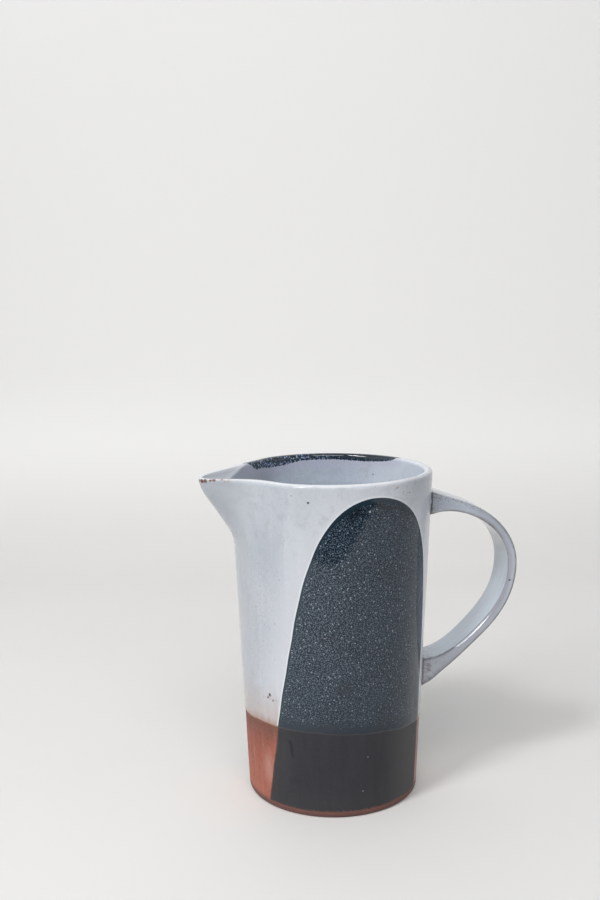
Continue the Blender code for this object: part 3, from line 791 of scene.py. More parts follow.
# painted shade: greyer within a few millimetres of the roots, where the strap meets the wall
colour = net.blend(net.span(root, 4.5, 0.2, 0.0, 0.36), colour, (0.235, 0.222, 0.236))
wear_and_shade = net.times(net.span(root, 6.5, 0.3), net.span(net.noise(420.0, 4.0, 0.7), 0.48, 0.62))
colour = net.blend(net.math("MULTIPLY", wear_and_shade, 0.55), colour, (0.175, 0.140, 0.138))
marks = net.noise(1.0, 4.0, 0.68, at=net.pair(net.math("MULTIPLY", net.field("along"), 0.30),
                                              net.math("MULTIPLY", net.field("girth"), 1.15)))
marks = net.times(net.span(marks, 0.50, 0.62), net.span(root, 15.0, 4.0), net.span(reach, 0.60, 0.70), 0.62)
colour = net.blend(marks, colour, (0.150, 0.130, 0.138))
for size, kept in ((0.65, 0.55), (1.0, 0.66)):
    near, pick = net.cells(size * MM, at=net.shifted(0.2 * size, 0.4, 0.1))
    fleck = net.times(net.span(near, 0.42, 0.22), net.span(pick, kept, kept + 0.1),
                      net.span(root, 8.5, 2.0))
    colour = net.blend(net.math("MULTIPLY", fleck, 0.75), colour, (0.050, 0.042, 0.044))
# a dark line where the strap meets the wall: the joint's crevice, darkened further as painted shadow in the gap
colour = net.blend(net.span(root, 1.3, 0.5, 0.0, 0.80), colour, (0.070, 0.068, 0.072))
near, pick = net.cells(0.9 * MM, at=net.shifted(0.7, 0.2, 0.3))
dots = net.times(net.field("crest"), net.span(near, 0.50, 0.26), net.span(pick, 0.40, 0.60))
colour = net.blend(net.math("MULTIPLY", dots, 0.75), colour, (0.110, 0.080, 0.072))
brim = net.times(net.field("brim"), net.span(net.noise(240.0, 3.0), 0.34, 0.60, 0.45, 1.0))
colour = net.blend(net.math("MULTIPLY", brim, 0.62), colour, (0.170, 0.145, 0.140))
breaks = net.times(ridge, net.span(net.noise(150.0, 3.0), 0.34, 0.60, 0.65, 1.0))
colour = net.blend(net.math("MULTIPLY", breaks, 0.88), colour, (0.125, 0.120, 0.130))
# painted shade along the inner side of the near edge, darkest near the roots
shade_line = net.times(crease_shade, net.span(net.noise(330.0, 3.0), 0.30, 0.50, 0.45, 1.0))
dark = net.blend(net.span(root, 16.0, 4.0), (0.100, 0.090, 0.100), (0.034, 0.029, 0.032))
colour = net.blend(net.math("MULTIPLY", shade_line, 0.84), colour, dark)
colour = net.blend(net.math("MULTIPLY", net.spot(at(93.4, -12.2, 109.0), 0.55 * MM, 0.3, 0.5), 0.95),
                   colour, (0.02, 0.022, 0.03))
# dry and dull at the lower root
dull = net.times(net.span(root, 20.0, 16.5), net.span(reach, 0.55, 0.65), net.field("keen"), 0.36)
strap_glaze = net.done(colour, net.math("ADD", glaze_gloss(net, 0.06, 0.10), dull), glaze_relief(net))


def dark_slip(name, near_side):
    """Slip under glaze: blue-black and speckled. Bare slip: matte and nearly plain."""
    net = Net(name, ior=1.5 if near_side else 1.65)
    above, side, inner = net.field("above"), net.field("side"), net.field("inner")
    deep = net.blend(net.span(net.noise(60.0, 4.0, 0.6), 0.3, 0.7),
                     (0.0060, 0.0145, 0.0265), (0.0095, 0.0210, 0.0365))
    deep = net.blend(net.span(side, 5.0, 0.3, 0.0, 0.6), deep, (0.020, 0.040, 0.058))
    deep = net.blend(net.math("MULTIPLY", inner, 0.7), deep, (0.006, 0.014, 0.026))
    if near_side:
        # thinner, so a little paler, just over the glaze line
        deep = net.blend(net.times(net.span(above, 10.0, 2.0), net.span(net.axis(0), 8.0, -22.0), 0.55), deep,
                         (0.026, 0.036, 0.050))
    # crystals in the glaze, dense and fine, fewer towards the handle
    pooled = net.span(net.axis(2), 140.0, 156.0) if near_side else 0.0
    density = net.times(net.span(net.math("SUBTRACT", side, net.math("MULTIPLY", pooled, 1.3)), 0.4, 1.4),
                        net.span(above, 0.9, 8.5),
                        net.span(above, 2.0, 45.0, 0.72, 1.0), net.span(inner, 0.0, 1.0, 1.0, 0.15),
                        net.span(net.axis(0), -25.0, 30.0, 1.0, 0.58),
                        net.span(net.noise(60.0, 3.0, 0.6), 0.30, 0.62, 0.88, 1.0))
    colour = deep
    flank = density if near_side else net.times(density, net.span(net.axis(2), 167.0, 164.0))
    for size, slant, random, reach, few, tint in (
            (2.00, 58.0, 0.80, (0.29, 0.15), (-0.68, 1.00), (0.060, 0.085, 0.115)),
            (0.88, 31.0, 0.95, (0.38, 0.11), (-0.55, 0.90), (0.172, 0.225, 0.285)),
            (2.60, 12.0, 1.00, (0.15, 0.08), (0.40, 0.90), (0.380, 0.440, 0.510))):
        near, pick = net.cells(size, at=net.unrolled(48.0, slant), random=random, flat=True)
        crystal = net.times(net.span(near, *reach), net.span(pick, *few), flank)
        colour = net.blend(crystal, colour, tint)
    if not near_side:
        # over the rim
        lip = net.times(density, net.span(net.axis(2), 164.0, 167.0))
        for size, reach, few in ((0.62, (0.46, 0.22), (0.15, 1.00)), (1.50, (0.20, 0.11), (0.50, 0.80))):
            near, pick = net.cells(size * MM, at=net.shifted(0.31 * size, 0.17, 0.23 / size))
            crystal = net.times(net.span(near, *reach), net.span(pick, *few), lip)
            colour = net.blend(crystal, colour, (0.190, 0.255, 0.345))
    if near_side:
        # painted reflection: darker just inside the top of the arch
        thick = net.times(net.span(net.axis(2), 148.0, 156.0), net.span(side, 9.0, 4.0), net.span(side, 1.3, 2.6),
                          net.span(net.noise(420.0, 3.0, 0.6), 0.40, 0.56))
        colour = net.blend(net.math("MULTIPLY", thick, 0.72), colour, (0.003, 0.005, 0.007))
        cloud = net.spot(at(-2.2, -48.1, 68.1), 4.0 * MM, 0.8, 0.8)
        colour = net.blend(net.math("MULTIPLY", cloud, 0.50), colour, (0.010, 0.015, 0.020))
    else:
        # where the glaze of the inside laps over it the crystals run together
        near, pick = net.cells(1.0 * MM, at=net.shifted(0.23, 0.11, 0.41))
        lap = net.times(inner, net.span(net.axis(0), 30.0, -14.0, 0.30, 1.0),
                        net.span(net.math("MULTIPLY", side, net.span(net.axis(0), 24.0, -14.0, 2.2, 0.55)), 4.6, 0.9),
                        net.span(near, 0.58, 0.32), net.span(pick, 0.25, 0.75))
        colour = net.blend(net.math("MULTIPLY", lap, 0.90), colour, (0.355, 0.480, 0.740))
    # bare slip below the glaze line
    bare = net.span(above, 0.05, -0.15)
    brush = net.noise(1.0, 3.0, 0.55, at=net.scaled(240.0, 240.0, 22.0))
    matte = net.blend(net.span(brush, 0.30, 0.75), (0.0190, 0.0193, 0.0262),
                      (0.0250, 0.0251, 0.0325))
    patchy = net.noise(130.0, 5.0, 0.65)
    matte = net.blend(net.span(patchy, 0.50, 0.75, 0.0, 0.55), matte, (0.0130, 0.0130, 0.0180))
    matte = net.blend(net.span(side, 16.0, 2.0, 0.0, 0.22), matte, (0.046, 0.045, 0.048))
    # painted light: paler towards the right-hand limb
    matte = net.blend(net.span(net.axis(0), 16.0, 33.0, 0.0, 0.60), matte, (0.068, 0.066, 0.066))
    sand = net.noise(2200.0, 2.0, 0.6)
    matte = net.blend(net.span(sand, 0.50, 0.80, 0.0, 0.38), matte, (0.075, 0.070, 0.072))
    feather = net.noise(1.0, 4.0, 0.65, at=net.scaled(900.0, 900.0, 240.0))
    thin = net.math("ADD", side, net.math("MULTIPLY", net.math("SUBTRACT", feather, 0.5), -3.4))
    matte = net.blend(net.span(thin, 1.2, -0.2, 0.0, 0.80), matte, (0.170, 0.070, 0.048))
    colour = net.blend(bare, colour, matte)
    line = net.times(net.span(above, -0.35, 0.05), net.span(above, 0.75, 0.20))
    colour = net.blend(net.math("MULTIPLY", line, 0.40), colour, (0.110, 0.086, 0.084))
    if near_side:
        scratch = net.union([net.spot(at(*c), r * MM, 0.4, 1.3, (1.0, 1.0, z)) for c, r, z in (
            ((-27.3, -37.4, 35.0), 0.75, 0.20), ((-28.2, -36.9, 38.3), 0.60, 0.45),
            ((-26.8, -37.6, 31.8), 0.50, 0.40))])
        colour = net.blend(net.math("MULTIPLY", scratch, 0.85), colour, (0.006, 0.006, 0.008))
        white = net.union([net.spot(at(*c), r * MM, 0.4, 0.6) for c, r in (
            ((9.7, -51.1, 156.7), 0.52), ((7.4, -44.7, 13.6), 0.28), ((9.9, -45.0, 31.4), 0.22))])
        colour = net.blend(net.math("MULTIPLY", white, 0.80), colour, (0.400, 0.440, 0.470))
    gloss = net.span(bare, 0.0, 1.0, 0.06, 0.66)
    grain = net.relief(net.math("MULTIPLY", net.noise(1500.0, 3.0, 0.6), bare), 0.05 * MM, 0.5)
    return net.done(colour, gloss, net.relief(net.noise(190.0, 2.0), 0.035 * MM, 0.22 if near_side else 0.10, grain))


front_dark = dark_slip("dark_slip_front", True)
back_dark = dark_slip("dark_slip_back", False)

# bare terracotta
net = Net("terracotta_bare")
below = net.field("below")
body_tone = net.noise(55.0, 4.0, 0.6)
colour = net.blend(net.span(body_tone, 0.30, 0.72), (0.266, 0.074, 0.046), (0.360, 0.111, 0.072))
wiped = net.noise(1.0, 4.0, 0.6, at=net.scaled(330.0, 330.0, 26.0))
colour = net.blend(net.span(wiped, 0.45, 0.75, 0.0, 0.45), colour, (0.452, 0.190, 0.145))
# painted highlight: a soft pinkish pale patch on the clay
pink_highlight = net.spot(at(-37.2, -26.0, 20.5), 3.4 * MM, 0.8, 0.9, (1.0, 1.0, 0.45))
colour = net.blend(net.math("MULTIPLY", pink_highlight, 0.45), colour, (0.600, 0.350, 0.300))
# darker where it meets the glaze, in runs
reach = net.math("ADD", below, net.math("MULTIPLY", net.math("SUBTRACT", wiped, 0.5), 9.0))
colour = net.blend(net.span(reach, 14.0, 1.0, 0.0, 0.80), colour, (0.158, 0.064, 0.049))
colour = net.blend(net.span(net.axis(2), 26.0, 12.0, 0.0, 0.27), colour, (0.500, 0.172, 0.120))
# painted reflection: greyer and paler at the right-hand limb
colour = net.blend(net.span(net.axis(0), 34.0, 43.0, 0.0, 0.70), colour, (0.405, 0.300, 0.275))
near, pick = net.cells(0.55 * MM)
sand = net.math("MULTIPLY", net.span(near, 0.45, 0.15), pick)
colour = net.blend(net.math("MULTIPLY", sand, 0.28), colour, (0.60, 0.35, 0.27))
near, pick = net.cells(1.3 * MM)
grog = net.times(net.span(near, 0.30, 0.12), net.span(pick, 0.72, 0.85))
colour = net.blend(net.math("MULTIPLY", grog, 0.5), colour, (0.140, 0.050, 0.034))
# painted shade: darker towards the foot's bottom edge, by the table
colour = net.blend(net.span(net.axis(2), 5.2, 1.8, 0.0, 0.86), colour, (0.098, 0.051, 0.047))
turned = net.noise(1.0, 3.0, 0.6, at=net.scaled(40.0, 40.0, 1900.0))
relief = net.relief(turned, 0.05 * MM, 0.45)
relief = net.relief(net.noise(1900.0, 3.0, 0.65), 0.06 * MM, 0.55, relief)
bare_clay = net.done(colour, net.span(net.noise(700.0, 2.0), 0.3, 0.7, 0.62, 0.82), relief)

# fired slurry round the roots of the strap
net = Net("luting_slip")
colour = pale_ground(net, (0.42, 0.455, 0.50), (0.47, 0.50, 0.53))
broken = net.span(net.noise(520.0, 4.0, 0.65), 0.30, 0.52)
colour = net.blend(net.math("MULTIPLY", broken, 0.90), colour, (0.070, 0.060, 0.059))
luting = net.done(colour, 0.30, net.relief(net.noise(900.0, 3.0), 0.08 * MM, 0.6))


# ---- clay body -----------------------------------------------------------------
TURNS = 288
around = np.linspace(0.0, 2.0 * np.pi, TURNS, endpoint=False)
u_round = np.repeat((around / (2.0 * np.pi))[None, :], 1, axis=0)

foot_radius = outer_radius(FOOT_EDGE) - COAT
base = [(r * MM, 0.0) for r in (0.0, 6.0, 12.0, 18.0, 24.0, 30.0, 36.0, 40.0)]
base += [(foot_radius - FOOT_EDGE * (1.0 - math.sin(t)), FOOT_EDGE * (1.0 - math.cos(t)))
         for t in np.linspace(0.0, math.pi / 2.0, 9)]
ring = np.array([[(r * math.cos(a), r * math.sin(a), z) for a in around] for r, z in base])
wall_q = np.concatenate([np.arange(2.4, 52.0, 0.8), np.arange(54.0, 160.0, 4.0)]) * MM / SHOULDER
body_q = np.concatenate([wall_q, np.linspace(0.97, 2.03, 19), np.linspace(2.036, 2.22, 26), np.linspace(2.25, 3.0, 26),
                         np.linspace(3.1, 4.0, 9), np.linspace(4.2, 5.0, 5)])
# inside, the clay lies a little deeper under the lining
body = skin(body_q[:, None], around[None, :], COAT + 0.22 * MM * ease((body_q[:, None] - 1.8) / 0.2))
body = np.concatenate([ring, body])
coat = Coat("clay_body", "below")
coat.sheet(body, np.repeat(u_round, len(body), axis=0), v_of(body),
           {"below": -above_line(body[..., 2], around[None, :])}, wrap=True)
clay_body = coat.build(bare_clay, ["thrown_body"])

# ---- glaze on the outside ---------------------------------------------------------
top_row = FRONT_TOP / SHOULDER
lines = [outline(front_left, GLAZE_LINE - 10 * MM, FRONT_TOP),
         outline(front_right, GLAZE_LINE - 10 * MM, FRONT_TOP),
         outline(back_left, GLAZE_LINE - 10 * MM, SHOULDER),
         outline(back_right, GLAZE_LINE - 10 * MM, SHOULDER)]


def turn_on(near):
    """The same edge, one full turn further on."""
    return lambda z: near(z) + 2.0 * np.pi


coat = Coat("glaze_outside", "above", "edge", "lip")
for near, far, share, start, width, seam_right in (
        (front_right, back_right, shares(62.0, 0.95), 0.64, 0.36, False),
        (back_left, turn_on(front_left), shares(98.0, 0.80), 0.0, 0.62, True)):
    q, angle, z = lay(outside_rows, near, far, share)
    high = above_line(z, angle)
    edge = distance_to(surface(q, angle), lines) / MM
    lip = ease((q - 1.10) / 0.25)
    swell = 0.09 * np.exp(-((edge - 0.45) / 0.35) ** 2) * ease(high / 2.0) * MM
    depth = rounded(np.maximum(0.0, high), COAT + BURIED, 0.75) - swell
    top = skin(q, angle, depth)
    under = skin(q, angle, COAT + BURIED + 0.01 * MM)
    u = start + width * np.repeat(share[None, :], len(q), axis=0)
    fields = {"above": high, "edge": edge, "lip": lip}
    index = coat.sheet(top, u, v_of(top), fields)
    closed = outside_rows <= top_row + 1e-9
    coat.underside(index, under, u, v_of(top), fields,
                   left=True if seam_right else closed,
                   right=closed if seam_right else True)
glaze_outside = coat.build(outside_glaze, ["pale_glaze_outside"])

# ---- glaze lining the inside ----------------------------------------------------
lining_q = np.concatenate([np.linspace(1.5, 2.0, 13), np.linspace(2.006, 2.10, 14),
                           np.linspace(2.12, 3.0, 54), np.linspace(3.08, 4.0, 12),
                           np.linspace(4.15, 5.0, 6)])
sweep = np.linspace(BACK_FIELD - BACK_RIM, BACK_FIELD + BACK_RIM, 3000)
patch_edge = surface(inside_q(back_run(sweep)), sweep)
top = skin(lining_q[:, None], around[None, :], 0.0)
under = skin(lining_q[:, None], around[None, :], COAT + BURIED)
step = np.concatenate([[0.0], np.cumsum(np.linalg.norm(np.diff(top, axis=0), axis=-1).mean(axis=1))])
fields = {"run": np.repeat(step[:, None] / MM, TURNS, axis=1),
          "edge": distance_to(top, [patch_edge]) / MM,
          "past": throat(lining_q[:, None], around[None, :])}
coat = Coat("glaze_lining", "run", "edge", "past")
u = np.repeat(u_round, len(lining_q), axis=0)
index = coat.sheet(top, u, v_of(top), fields, wrap=True)
coat.underside(index, under, u, v_of(top), fields, wrap=True, last=False)
glaze_lining = coat.build(lining_glaze, ["pale_glaze_lining"])


# ---- dark slip on the near flank ---------------------------------------------------
def slip_depth(high, side):
    """Depth of a slip field's surface: flush under glaze, thin and feathered when bare."""
    bare = COAT - SLIP + rounded(side, SLIP + 0.5 * BURIED, 0.8)
    step = rounded(np.maximum(0.0, high), 1.0, 0.75)
    return np.where(high > 0.0, bare * step, bare)


front_rows = np.concatenate([bare_rows, outside_rows[outside_rows <= top_row + 1e-9]])
share = shares(74.0, 0.80)
q, angle, z = lay(front_rows, front_left, front_right, share)
high = above_line(z, angle)
foot_line = surface(np.full(4000, SLIP_FOOT / SHOULDER),
                    np.linspace(front_left(SLIP_FOOT), front_right(SLIP_FOOT), 4000))
sides = [outline(front_left, SLIP_FOOT, FRONT_TOP), outline(front_right, SLIP_FOOT, FRONT_TOP),
         foot_line]
side = distance_to(surface(q, angle), sides) / MM
top = skin(q, angle, slip_depth(high, side))
under = skin(q, angle, COAT + BURIED + 0.01 * MM)
u = np.repeat(share[None, :], len(q), axis=0)
fields = {"above": high, "side": side}
coat = Coat("slip_front", "above", "side")
index = coat.sheet(top, u, v_of(top), fields)
coat.underside(index, under, u, v_of(top), fields, last=False)
slip_front = coat.build(front_dark, ["dark_slip_front"])

# ---- dark slip on the far flank, over the rim ---------------------------------------
share = shares(110.0, 0.42)
q, angle, z = lay(np.concatenate([bare_rows, outside_rows]), back_right, back_left, share)
over = np.concatenate([np.linspace(0.08, 0.90, 11), [0.94, 0.97, 0.985, 1.0]])
spread = angle[-1]
length = back_run(spread)
q_over = inside_q(over[:, None] * length[None, :])
q = np.concatenate([q, q_over])
angle = np.concatenate([angle, np.repeat(spread[None, :], len(over), axis=0)])
z = np.concatenate([z, np.full((len(over), len(share)), HEIGHT)])
high = above_line(z, angle)
foot_line = surface(np.full(4000, SLIP_FOOT / SHOULDER),
                    np.linspace(back_right(SLIP_FOOT), back_left(SLIP_FOOT), 4000))
sides = [outline(back_left, SLIP_FOOT, SHOULDER), outline(back_right, SLIP_FOOT, SHOULDER),
         foot_line, patch_edge]
side = distance_to(surface(q, angle), sides) / MM
depth = slip_depth(high, side)
proud = ease((q - 1.30) / 0.20) * 0.10 * MM          # where it lies over the lining
to_edge = np.where(q > 1.5, (1.0 - np.concatenate(
    [np.zeros((len(q) - len(over), len(share))), np.repeat(over[:, None], len(share), axis=1)]))
    * length[None, :] / MM, 9.0)
depth = depth - proud + rounded(np.minimum(to_edge, np.where(q > 1.3, side, 9.0)), 0.14 * MM, 0.5)
top = skin(q, angle, depth)
under = skin(q, angle, COAT + BURIED + 0.01 * MM)
u = np.repeat(share[None, :], len(q), axis=0)
fields = {"above": high, "side": side, "inner": ease((q - 1.45) / 0.15)}
coat = Coat("slip_back", "above", "side", "inner")
index = coat.sheet(top, u, v_of(top), fields)
coat.underside(index, under, u, v_of(top), fields)
slip_back = coat.build(back_dark, ["dark_slip_back"])


# ---- strap handle --------------------------------------------------------------------
def strap_path(steps):
    """Centre line of the strap in the plane of the handle."""
    line = []
    for (a, b, c), (d, _, _) in zip(STRAP_KNOTS[:-1], STRAP_KNOTS[1:]):
        t = np.linspace(0.0, 1.0, steps + 1)[:, None]
        a, b, c, d = (np.array(p) * MM for p in (a, b, c, d))
        line.append(a * (1 - t) ** 3 + 3 * b * t * (1 - t) ** 2 + 3 * c * t * t * (1 - t) + d * t ** 3)
    return np.concatenate([line[0]] + [part[1:] for part in line[1:]])


path = strap_path(80)
run = np.concatenate([[0.0], np.cumsum(np.linalg.norm(np.diff(path, axis=0), axis=1))])
steps = np.linspace(0.0, run[-1], 260)
path = np.stack([np.interp(steps, run, path[:, k]) for k in range(2)], axis=1)
run = steps
tangent = np.gradient(path, axis=0)
tangent /= np.linalg.norm(tangent, axis=1, keepdims=True)
out_of_wall = path[:, 0] > outer_radius(path[:, 1])
TOP_RUN = run[np.argmax(out_of_wall)]
FOOT_RUN = run[len(run) - 1 - np.argmax(out_of_wall[::-1])]

# stops round the section, from the middle of the outer face over the far edge:
# corner, turn of its arc, share of the way out to the corner and on from it
BEND = 9
FACE = (0.0, 0.18, 0.36, 0.54, 0.70, 0.81, 0.88, 0.93, 0.965, 0.985)
stops = []
for corner in range(4):
    wide_face = corner in (0, 2)
    if wide_face:
        stops += [(corner, 90.0 * corner, t) for t in FACE]
    stops += [(corner, 90.0 * corner + t, 1.0) for t in np.linspace(0.0, 90.0, BEND)]
    onward = (0.25, 0.5, 0.75) if wide_face else [1.0 - t for t in FACE[:0:-1]]
    stops += [(corner, 90.0 * corner + 90.0, 1.0 + t) for t in onward]
SIDES = len(stops)
corner_of = np.array([c for c, _, _ in stops])
arc_turn = np.radians([t for _, t, _ in stops])
arc_share = np.array([f for _, _, f in stops])


def strap_surface(depth):
    """The strap's surface: a flat ribbon with round edges and a slight crown."""
    top = TOP_SWELL[0] * np.exp(-np.maximum(0.0, run - TOP_RUN) / TOP_SWELL[1])
    foot = FOOT_SWELL[0] * np.exp(-np.maximum(0.0, FOOT_RUN - run) / FOOT_SWELL[1])
    wide = STRAP_HALF_WIDTH - STRAP_TAPER * ease((run / run[-1] - 0.3) / 0.7) - depth
    thick = STRAP_HALF_THICK + top + foot - depth
    wide, thick = wide[:, None], thick[:, None]
    edge = STRAP_EDGE * (1.0 + 0.12 * (corner_of == 2)) - 0.5 * depth
    up = np.where((corner_of == 0) | (corner_of == 3), 1.0, -1.0)
    side = np.where(corner_of < 2, 1.0, -1.0)
    # the near inner edge is flattened to a bevel along its lower half
    flat = ease((run / run[-1] - 0.56) / 0.15) * ease((0.825 - run / run[-1]) / 0.018)
    power = 1.0 + 0.85 * flat[:, None] * (corner_of == 2)
    c, t = np.round(np.cos(arc_turn), 12), np.round(np.sin(arc_turn), 12)
    lift = up * (thick - edge) + edge * np.sign(c) * np.abs(c) ** power
    across = side * (wide - edge) + edge * np.sign(t) * np.abs(t) ** power
    # flats between the arcs
    on_face = ((corner_of == 0) | (corner_of == 2)) & (arc_share < 1.0)
    across = np.where(on_face, across * arc_share, across)
    late = np.where(arc_share > 1.0, arc_share - 1.0, 0.0)
    on_edge = ((corner_of == 0) | (corner_of == 2)) & (late > 0.0)
    lift = np.where(on_edge, lift * (1.0 - 2.0 * late), lift)
    off_face = ((corner_of == 1) | (corner_of == 3)) & (late > 0.0)
    across = np.where(off_face, across * (1.0 - late), across)
    lift, across = (lift + STRAP_CROWN * (1.0 - (across / wide) ** 2) * lift / thick,
                    across + 0.12 * MM * (1.0 - (lift / thick) ** 2) * across / wide)
    drift = (0.08 * np.sin(run / (13.0 * MM)) + 0.04 * np.sin(run / (5.1 * MM) + 1.0)) * MM
    lift = lift + drift[:, None] * lift / thick
    up_strap = np.maximum(0.0, FOOT_RUN - run) / (5.0 * MM)
    straight = 0.75 * MM * np.exp(-up_strap) - 0.72 * MM * up_strap * np.exp(1.0 - up_strap)
    lift = lift - straight[:, None] * np.maximum(0.0, lift) / thick
    points = np.stack([path[:, :1] - tangent[:, 1:] * lift, across,
                       path[:, 1:] + tangent[:, :1] * lift], axis=-1)
    # the ends stop short inside the wall
    radius = np.hypot(points[..., 0], points[..., 1])
    short = np.maximum(1.0, (outer_radius(points[..., 2]) - 1.6 * MM) / radius)
    points[..., 0] *= short
    points[..., 1] *= short
    return points


strap_outer, strap_inner = strap_surface(0.0), strap_surface(0.45 * MM)
clear = np.hypot(strap_outer[..., 0], strap_outer[..., 1]) - outer_radius(strap_outer[..., 2])
off_arc = np.degrees(np.abs(arc_turn - math.pi / 2.0 * (corner_of + 0.5)))
on_arc = np.isclose(arc_share, 1.0)
ridge = np.where(on_arc, ease((66.0 - off_arc) / 40.0), 0.0)
ridge = ridge * np.array([0.5, 0.75, 0.0, 1.0])[corner_of]
late = np.maximum(0.0, arc_share - 1.0)
narrow = np.where(on_arc, ease(np.where((corner_of == 0) | (corner_of == 2), 1.0, -1.0)
                               * (arc_turn - math.pi / 2.0 * (corner_of + 0.5)) / 0.9 + 0.5), 0.0)
narrow = np.where(((corner_of == 0) | (corner_of == 2)) & (late > 0.0), 1.0, narrow)
hollow = np.where(((corner_of == 1) & (late > 0.0)) | ((corner_of == 2) & (arc_share < 1.0)), 1.0, 0.0)
# painted shade: a dark line along the inner side of the near edge
crease_shade = np.where((corner_of == 2) & on_arc, ease(1.0 - np.degrees(arc_turn - math.pi) / 26.0), 0.0)
crease_shade = np.where((corner_of == 2) & (arc_share < 1.0), ease((arc_share - 0.935) / 0.05), crease_shade)
reach = run / run[-1]
wear_and_shade = 0.85 - 0.40 * ease((reach - 0.42) / 0.10) + 0.50 * ease((reach - 0.62) / 0.14)
at_root = np.where((corner_of == 2) & on_arc, ease(1.2 - np.degrees(arc_turn - math.pi) / 70.0), 0.0)
crease_shade = np.maximum(crease_shade[None, :] * wear_and_shade[:, None],
                    at_root[None, :] * ease((reach[:, None] - 0.815) / 0.02))
broad = np.where((corner_of == 2) & (arc_share < 1.0), ease((arc_share - 0.86) / 0.08), 0.0)
crease_shade = np.maximum(crease_shade, broad[None, :] * ease((reach[:, None] - 0.885) / 0.035))
shade = np.where(corner_of == 2, ease(1.0 - late / 0.6), 0.0) * np.where(on_arc | (late > 0.0), 1.0, 0.0)
shade = shade[None, :] * (ease((reach[:, None] - 0.17) / 0.10) * ease((0.74 - reach[:, None]) / 0.12))
keen = np.where((corner_of == 2) & on_arc, 1.0, 0.0)
crest = np.where((corner_of == 3) & on_arc, 1.0, 0.0) + np.where(corner_of == 2, ease((late - 0.55) / 0.30), 0.0)
crest = crest[None, :] * ease((0.26 - reach[:, None]) / 0.10)
brim = np.where((corner_of == 2) & on_arc, ease((60.0 - off_arc) / 30.0), 0.0)[None, :] \
    * ease((0.36 - reach[:, None]) / 0.06)
plain = lambda values: np.repeat(values[None, :], len(run), axis=0)
around_strap = np.concatenate([[0.0], np.cumsum(np.linalg.norm(
    np.diff(strap_outer[len(run) // 2], axis=0), axis=1))])
closing = np.linalg.norm(strap_outer[len(run) // 2, 0] - strap_outer[len(run) // 2, -1])
low_ridge = np.where(corner_of == 3, 0.35 + 0.65 * ease((reach[:, None] - 0.16) / 0.16), 1.0)
fields = {"root": np.clip(clear / MM, -1.0, 40.0), "ridge": ridge[None, :] * low_ridge, "narrow": plain(narrow),
          "along": np.repeat(run[:, None] / MM, SIDES, axis=1), "girth": plain(around_strap / MM),
          "hollow": plain(hollow), "crease_shade": crease_shade, "brim": brim, "shade": shade, "keen": plain(keen), "crest": crest,
          "reach": np.repeat(reach[:, None], SIDES, axis=1)}
coat = Coat("handle_skin", *fields)
u = np.repeat((around_strap / (around_strap[-1] + closing))[None, :], len(run), axis=0)
index = coat.sheet(strap_outer, u, v_of(strap_outer), fields, wrap=True)
coat.underside(index, strap_inner, u, v_of(strap_outer), fields, wrap=True)
handle_skin = coat.build(strap_glaze, ["handle_glaze"])


# ---- beads of slurry round the roots ---------------------------------------------------
def root_line(order):
    """Where each line along the strap comes out of the wall."""
    points = []
    for k in range(SIDES):
        gap = clear[order, k]
        first = int(np.argmax(gap > 0.0))
        a, b = order[max(0, first - 1)], order[first]
        t = 0.0 if first == 0 else -clear[a, k] / (clear[b, k] - clear[a, k])
        points.append(strap_outer[a, k] * (1.0 - t) + strap_outer[b, k] * t)
    return np.array(points)


def bead(name, line, node, full):
    around_line = np.roll(line, -1, axis=0) - np.roll(line, 1, axis=0)
    around_line /= np.linalg.norm(around_line, axis=1, keepdims=True)
    radial = line * np.array([1.0, 1.0, 0.0])
    radial /= np.linalg.norm(radial, axis=1, keepdims=True)
    radial -= around_line * np.sum(radial * around_line, axis=1, keepdims=True)
    radial /= np.linalg.norm(radial, axis=1, keepdims=True)
    other = np.cross(around_line, radial)
    k = np.arange(len(line))
    size = full * (1.0 + 0.2 * np.sin(k * 0.61) + 0.15 * np.sin(k * 1.37 + 1.0)) * MM
    t = np.linspace(0.0, 2.0 * np.pi, 14, endpoint=False)
    tube = (line[None] + size[None, :, None] * (np.cos(t)[:, None, None] * radial[None]
                                               + np.sin(t)[:, None, None] * other[None]))
    tube = np.concatenate([tube, tube[:1]])
    coat = Coat(name)
    u = np.repeat((k / len(line))[None, :], len(tube), axis=0)
    v = np.repeat(np.linspace(0.0, 1.0, len(tube))[:, None], len(line), axis=1)
    coat.sheet(tube, u, v, {}, wrap=True)
    return coat.build(luting, [node], sharp=180.0)


bead("luting_bead_upper", root_line(np.arange(len(run))), "upper_luting_joint", 0.46)
bead("luting_bead_lower", root_line(np.arange(len(run))[::-1]), "lower_luting_joint", 0.32)

# the strap's clay stays as the CAD has it, under its glaze
strap_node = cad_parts["strap_handle"]
strap_node.data.materials.clear()
strap_node.data.materials.append(bare_clay)

# ---- stage: camera, floor, light ------------------------------------------------------
TURN = math.radians(10.0)      # the jug is turned this far from square to the camera
LENS = 41.83
DISTANCE, EYE = 0.53646, 0.25590
PITCH, YAW, ROLL = (math.radians(d) for d in (8.0833, -1.7036, -0.5818))
square = Matrix.Rotation(-TURN, 3, "Z")

forward = Vector((math.sin(YAW) * math.cos(PITCH), math.cos(YAW) * math.cos(PITCH), -math.sin(PITCH)))
right = Vector((math.cos(YAW), -math.sin(YAW), 0.0))
up = right.cross(forward)
right, up = (right * math.cos(ROLL) + up * math.sin(ROLL),
             up * math.cos(ROLL) - right * math.sin(ROLL))
camera = bpy.data.objects.new("camera", bpy.data.cameras.new("camera"))
bpy.context.scene.collection.objects.link(camera)
turn_to = Matrix((right, up, -forward)).transposed()
camera.matrix_world = Matrix.Translation(square @ Vector((0.0, -DISTANCE, EYE))) @ (square @ turn_to).to_4x4()
camera.data.lens = LENS
camera.data.sensor_width = 36.0
camera.data.clip_start = 0.01
bpy.context.scene.camera = camera

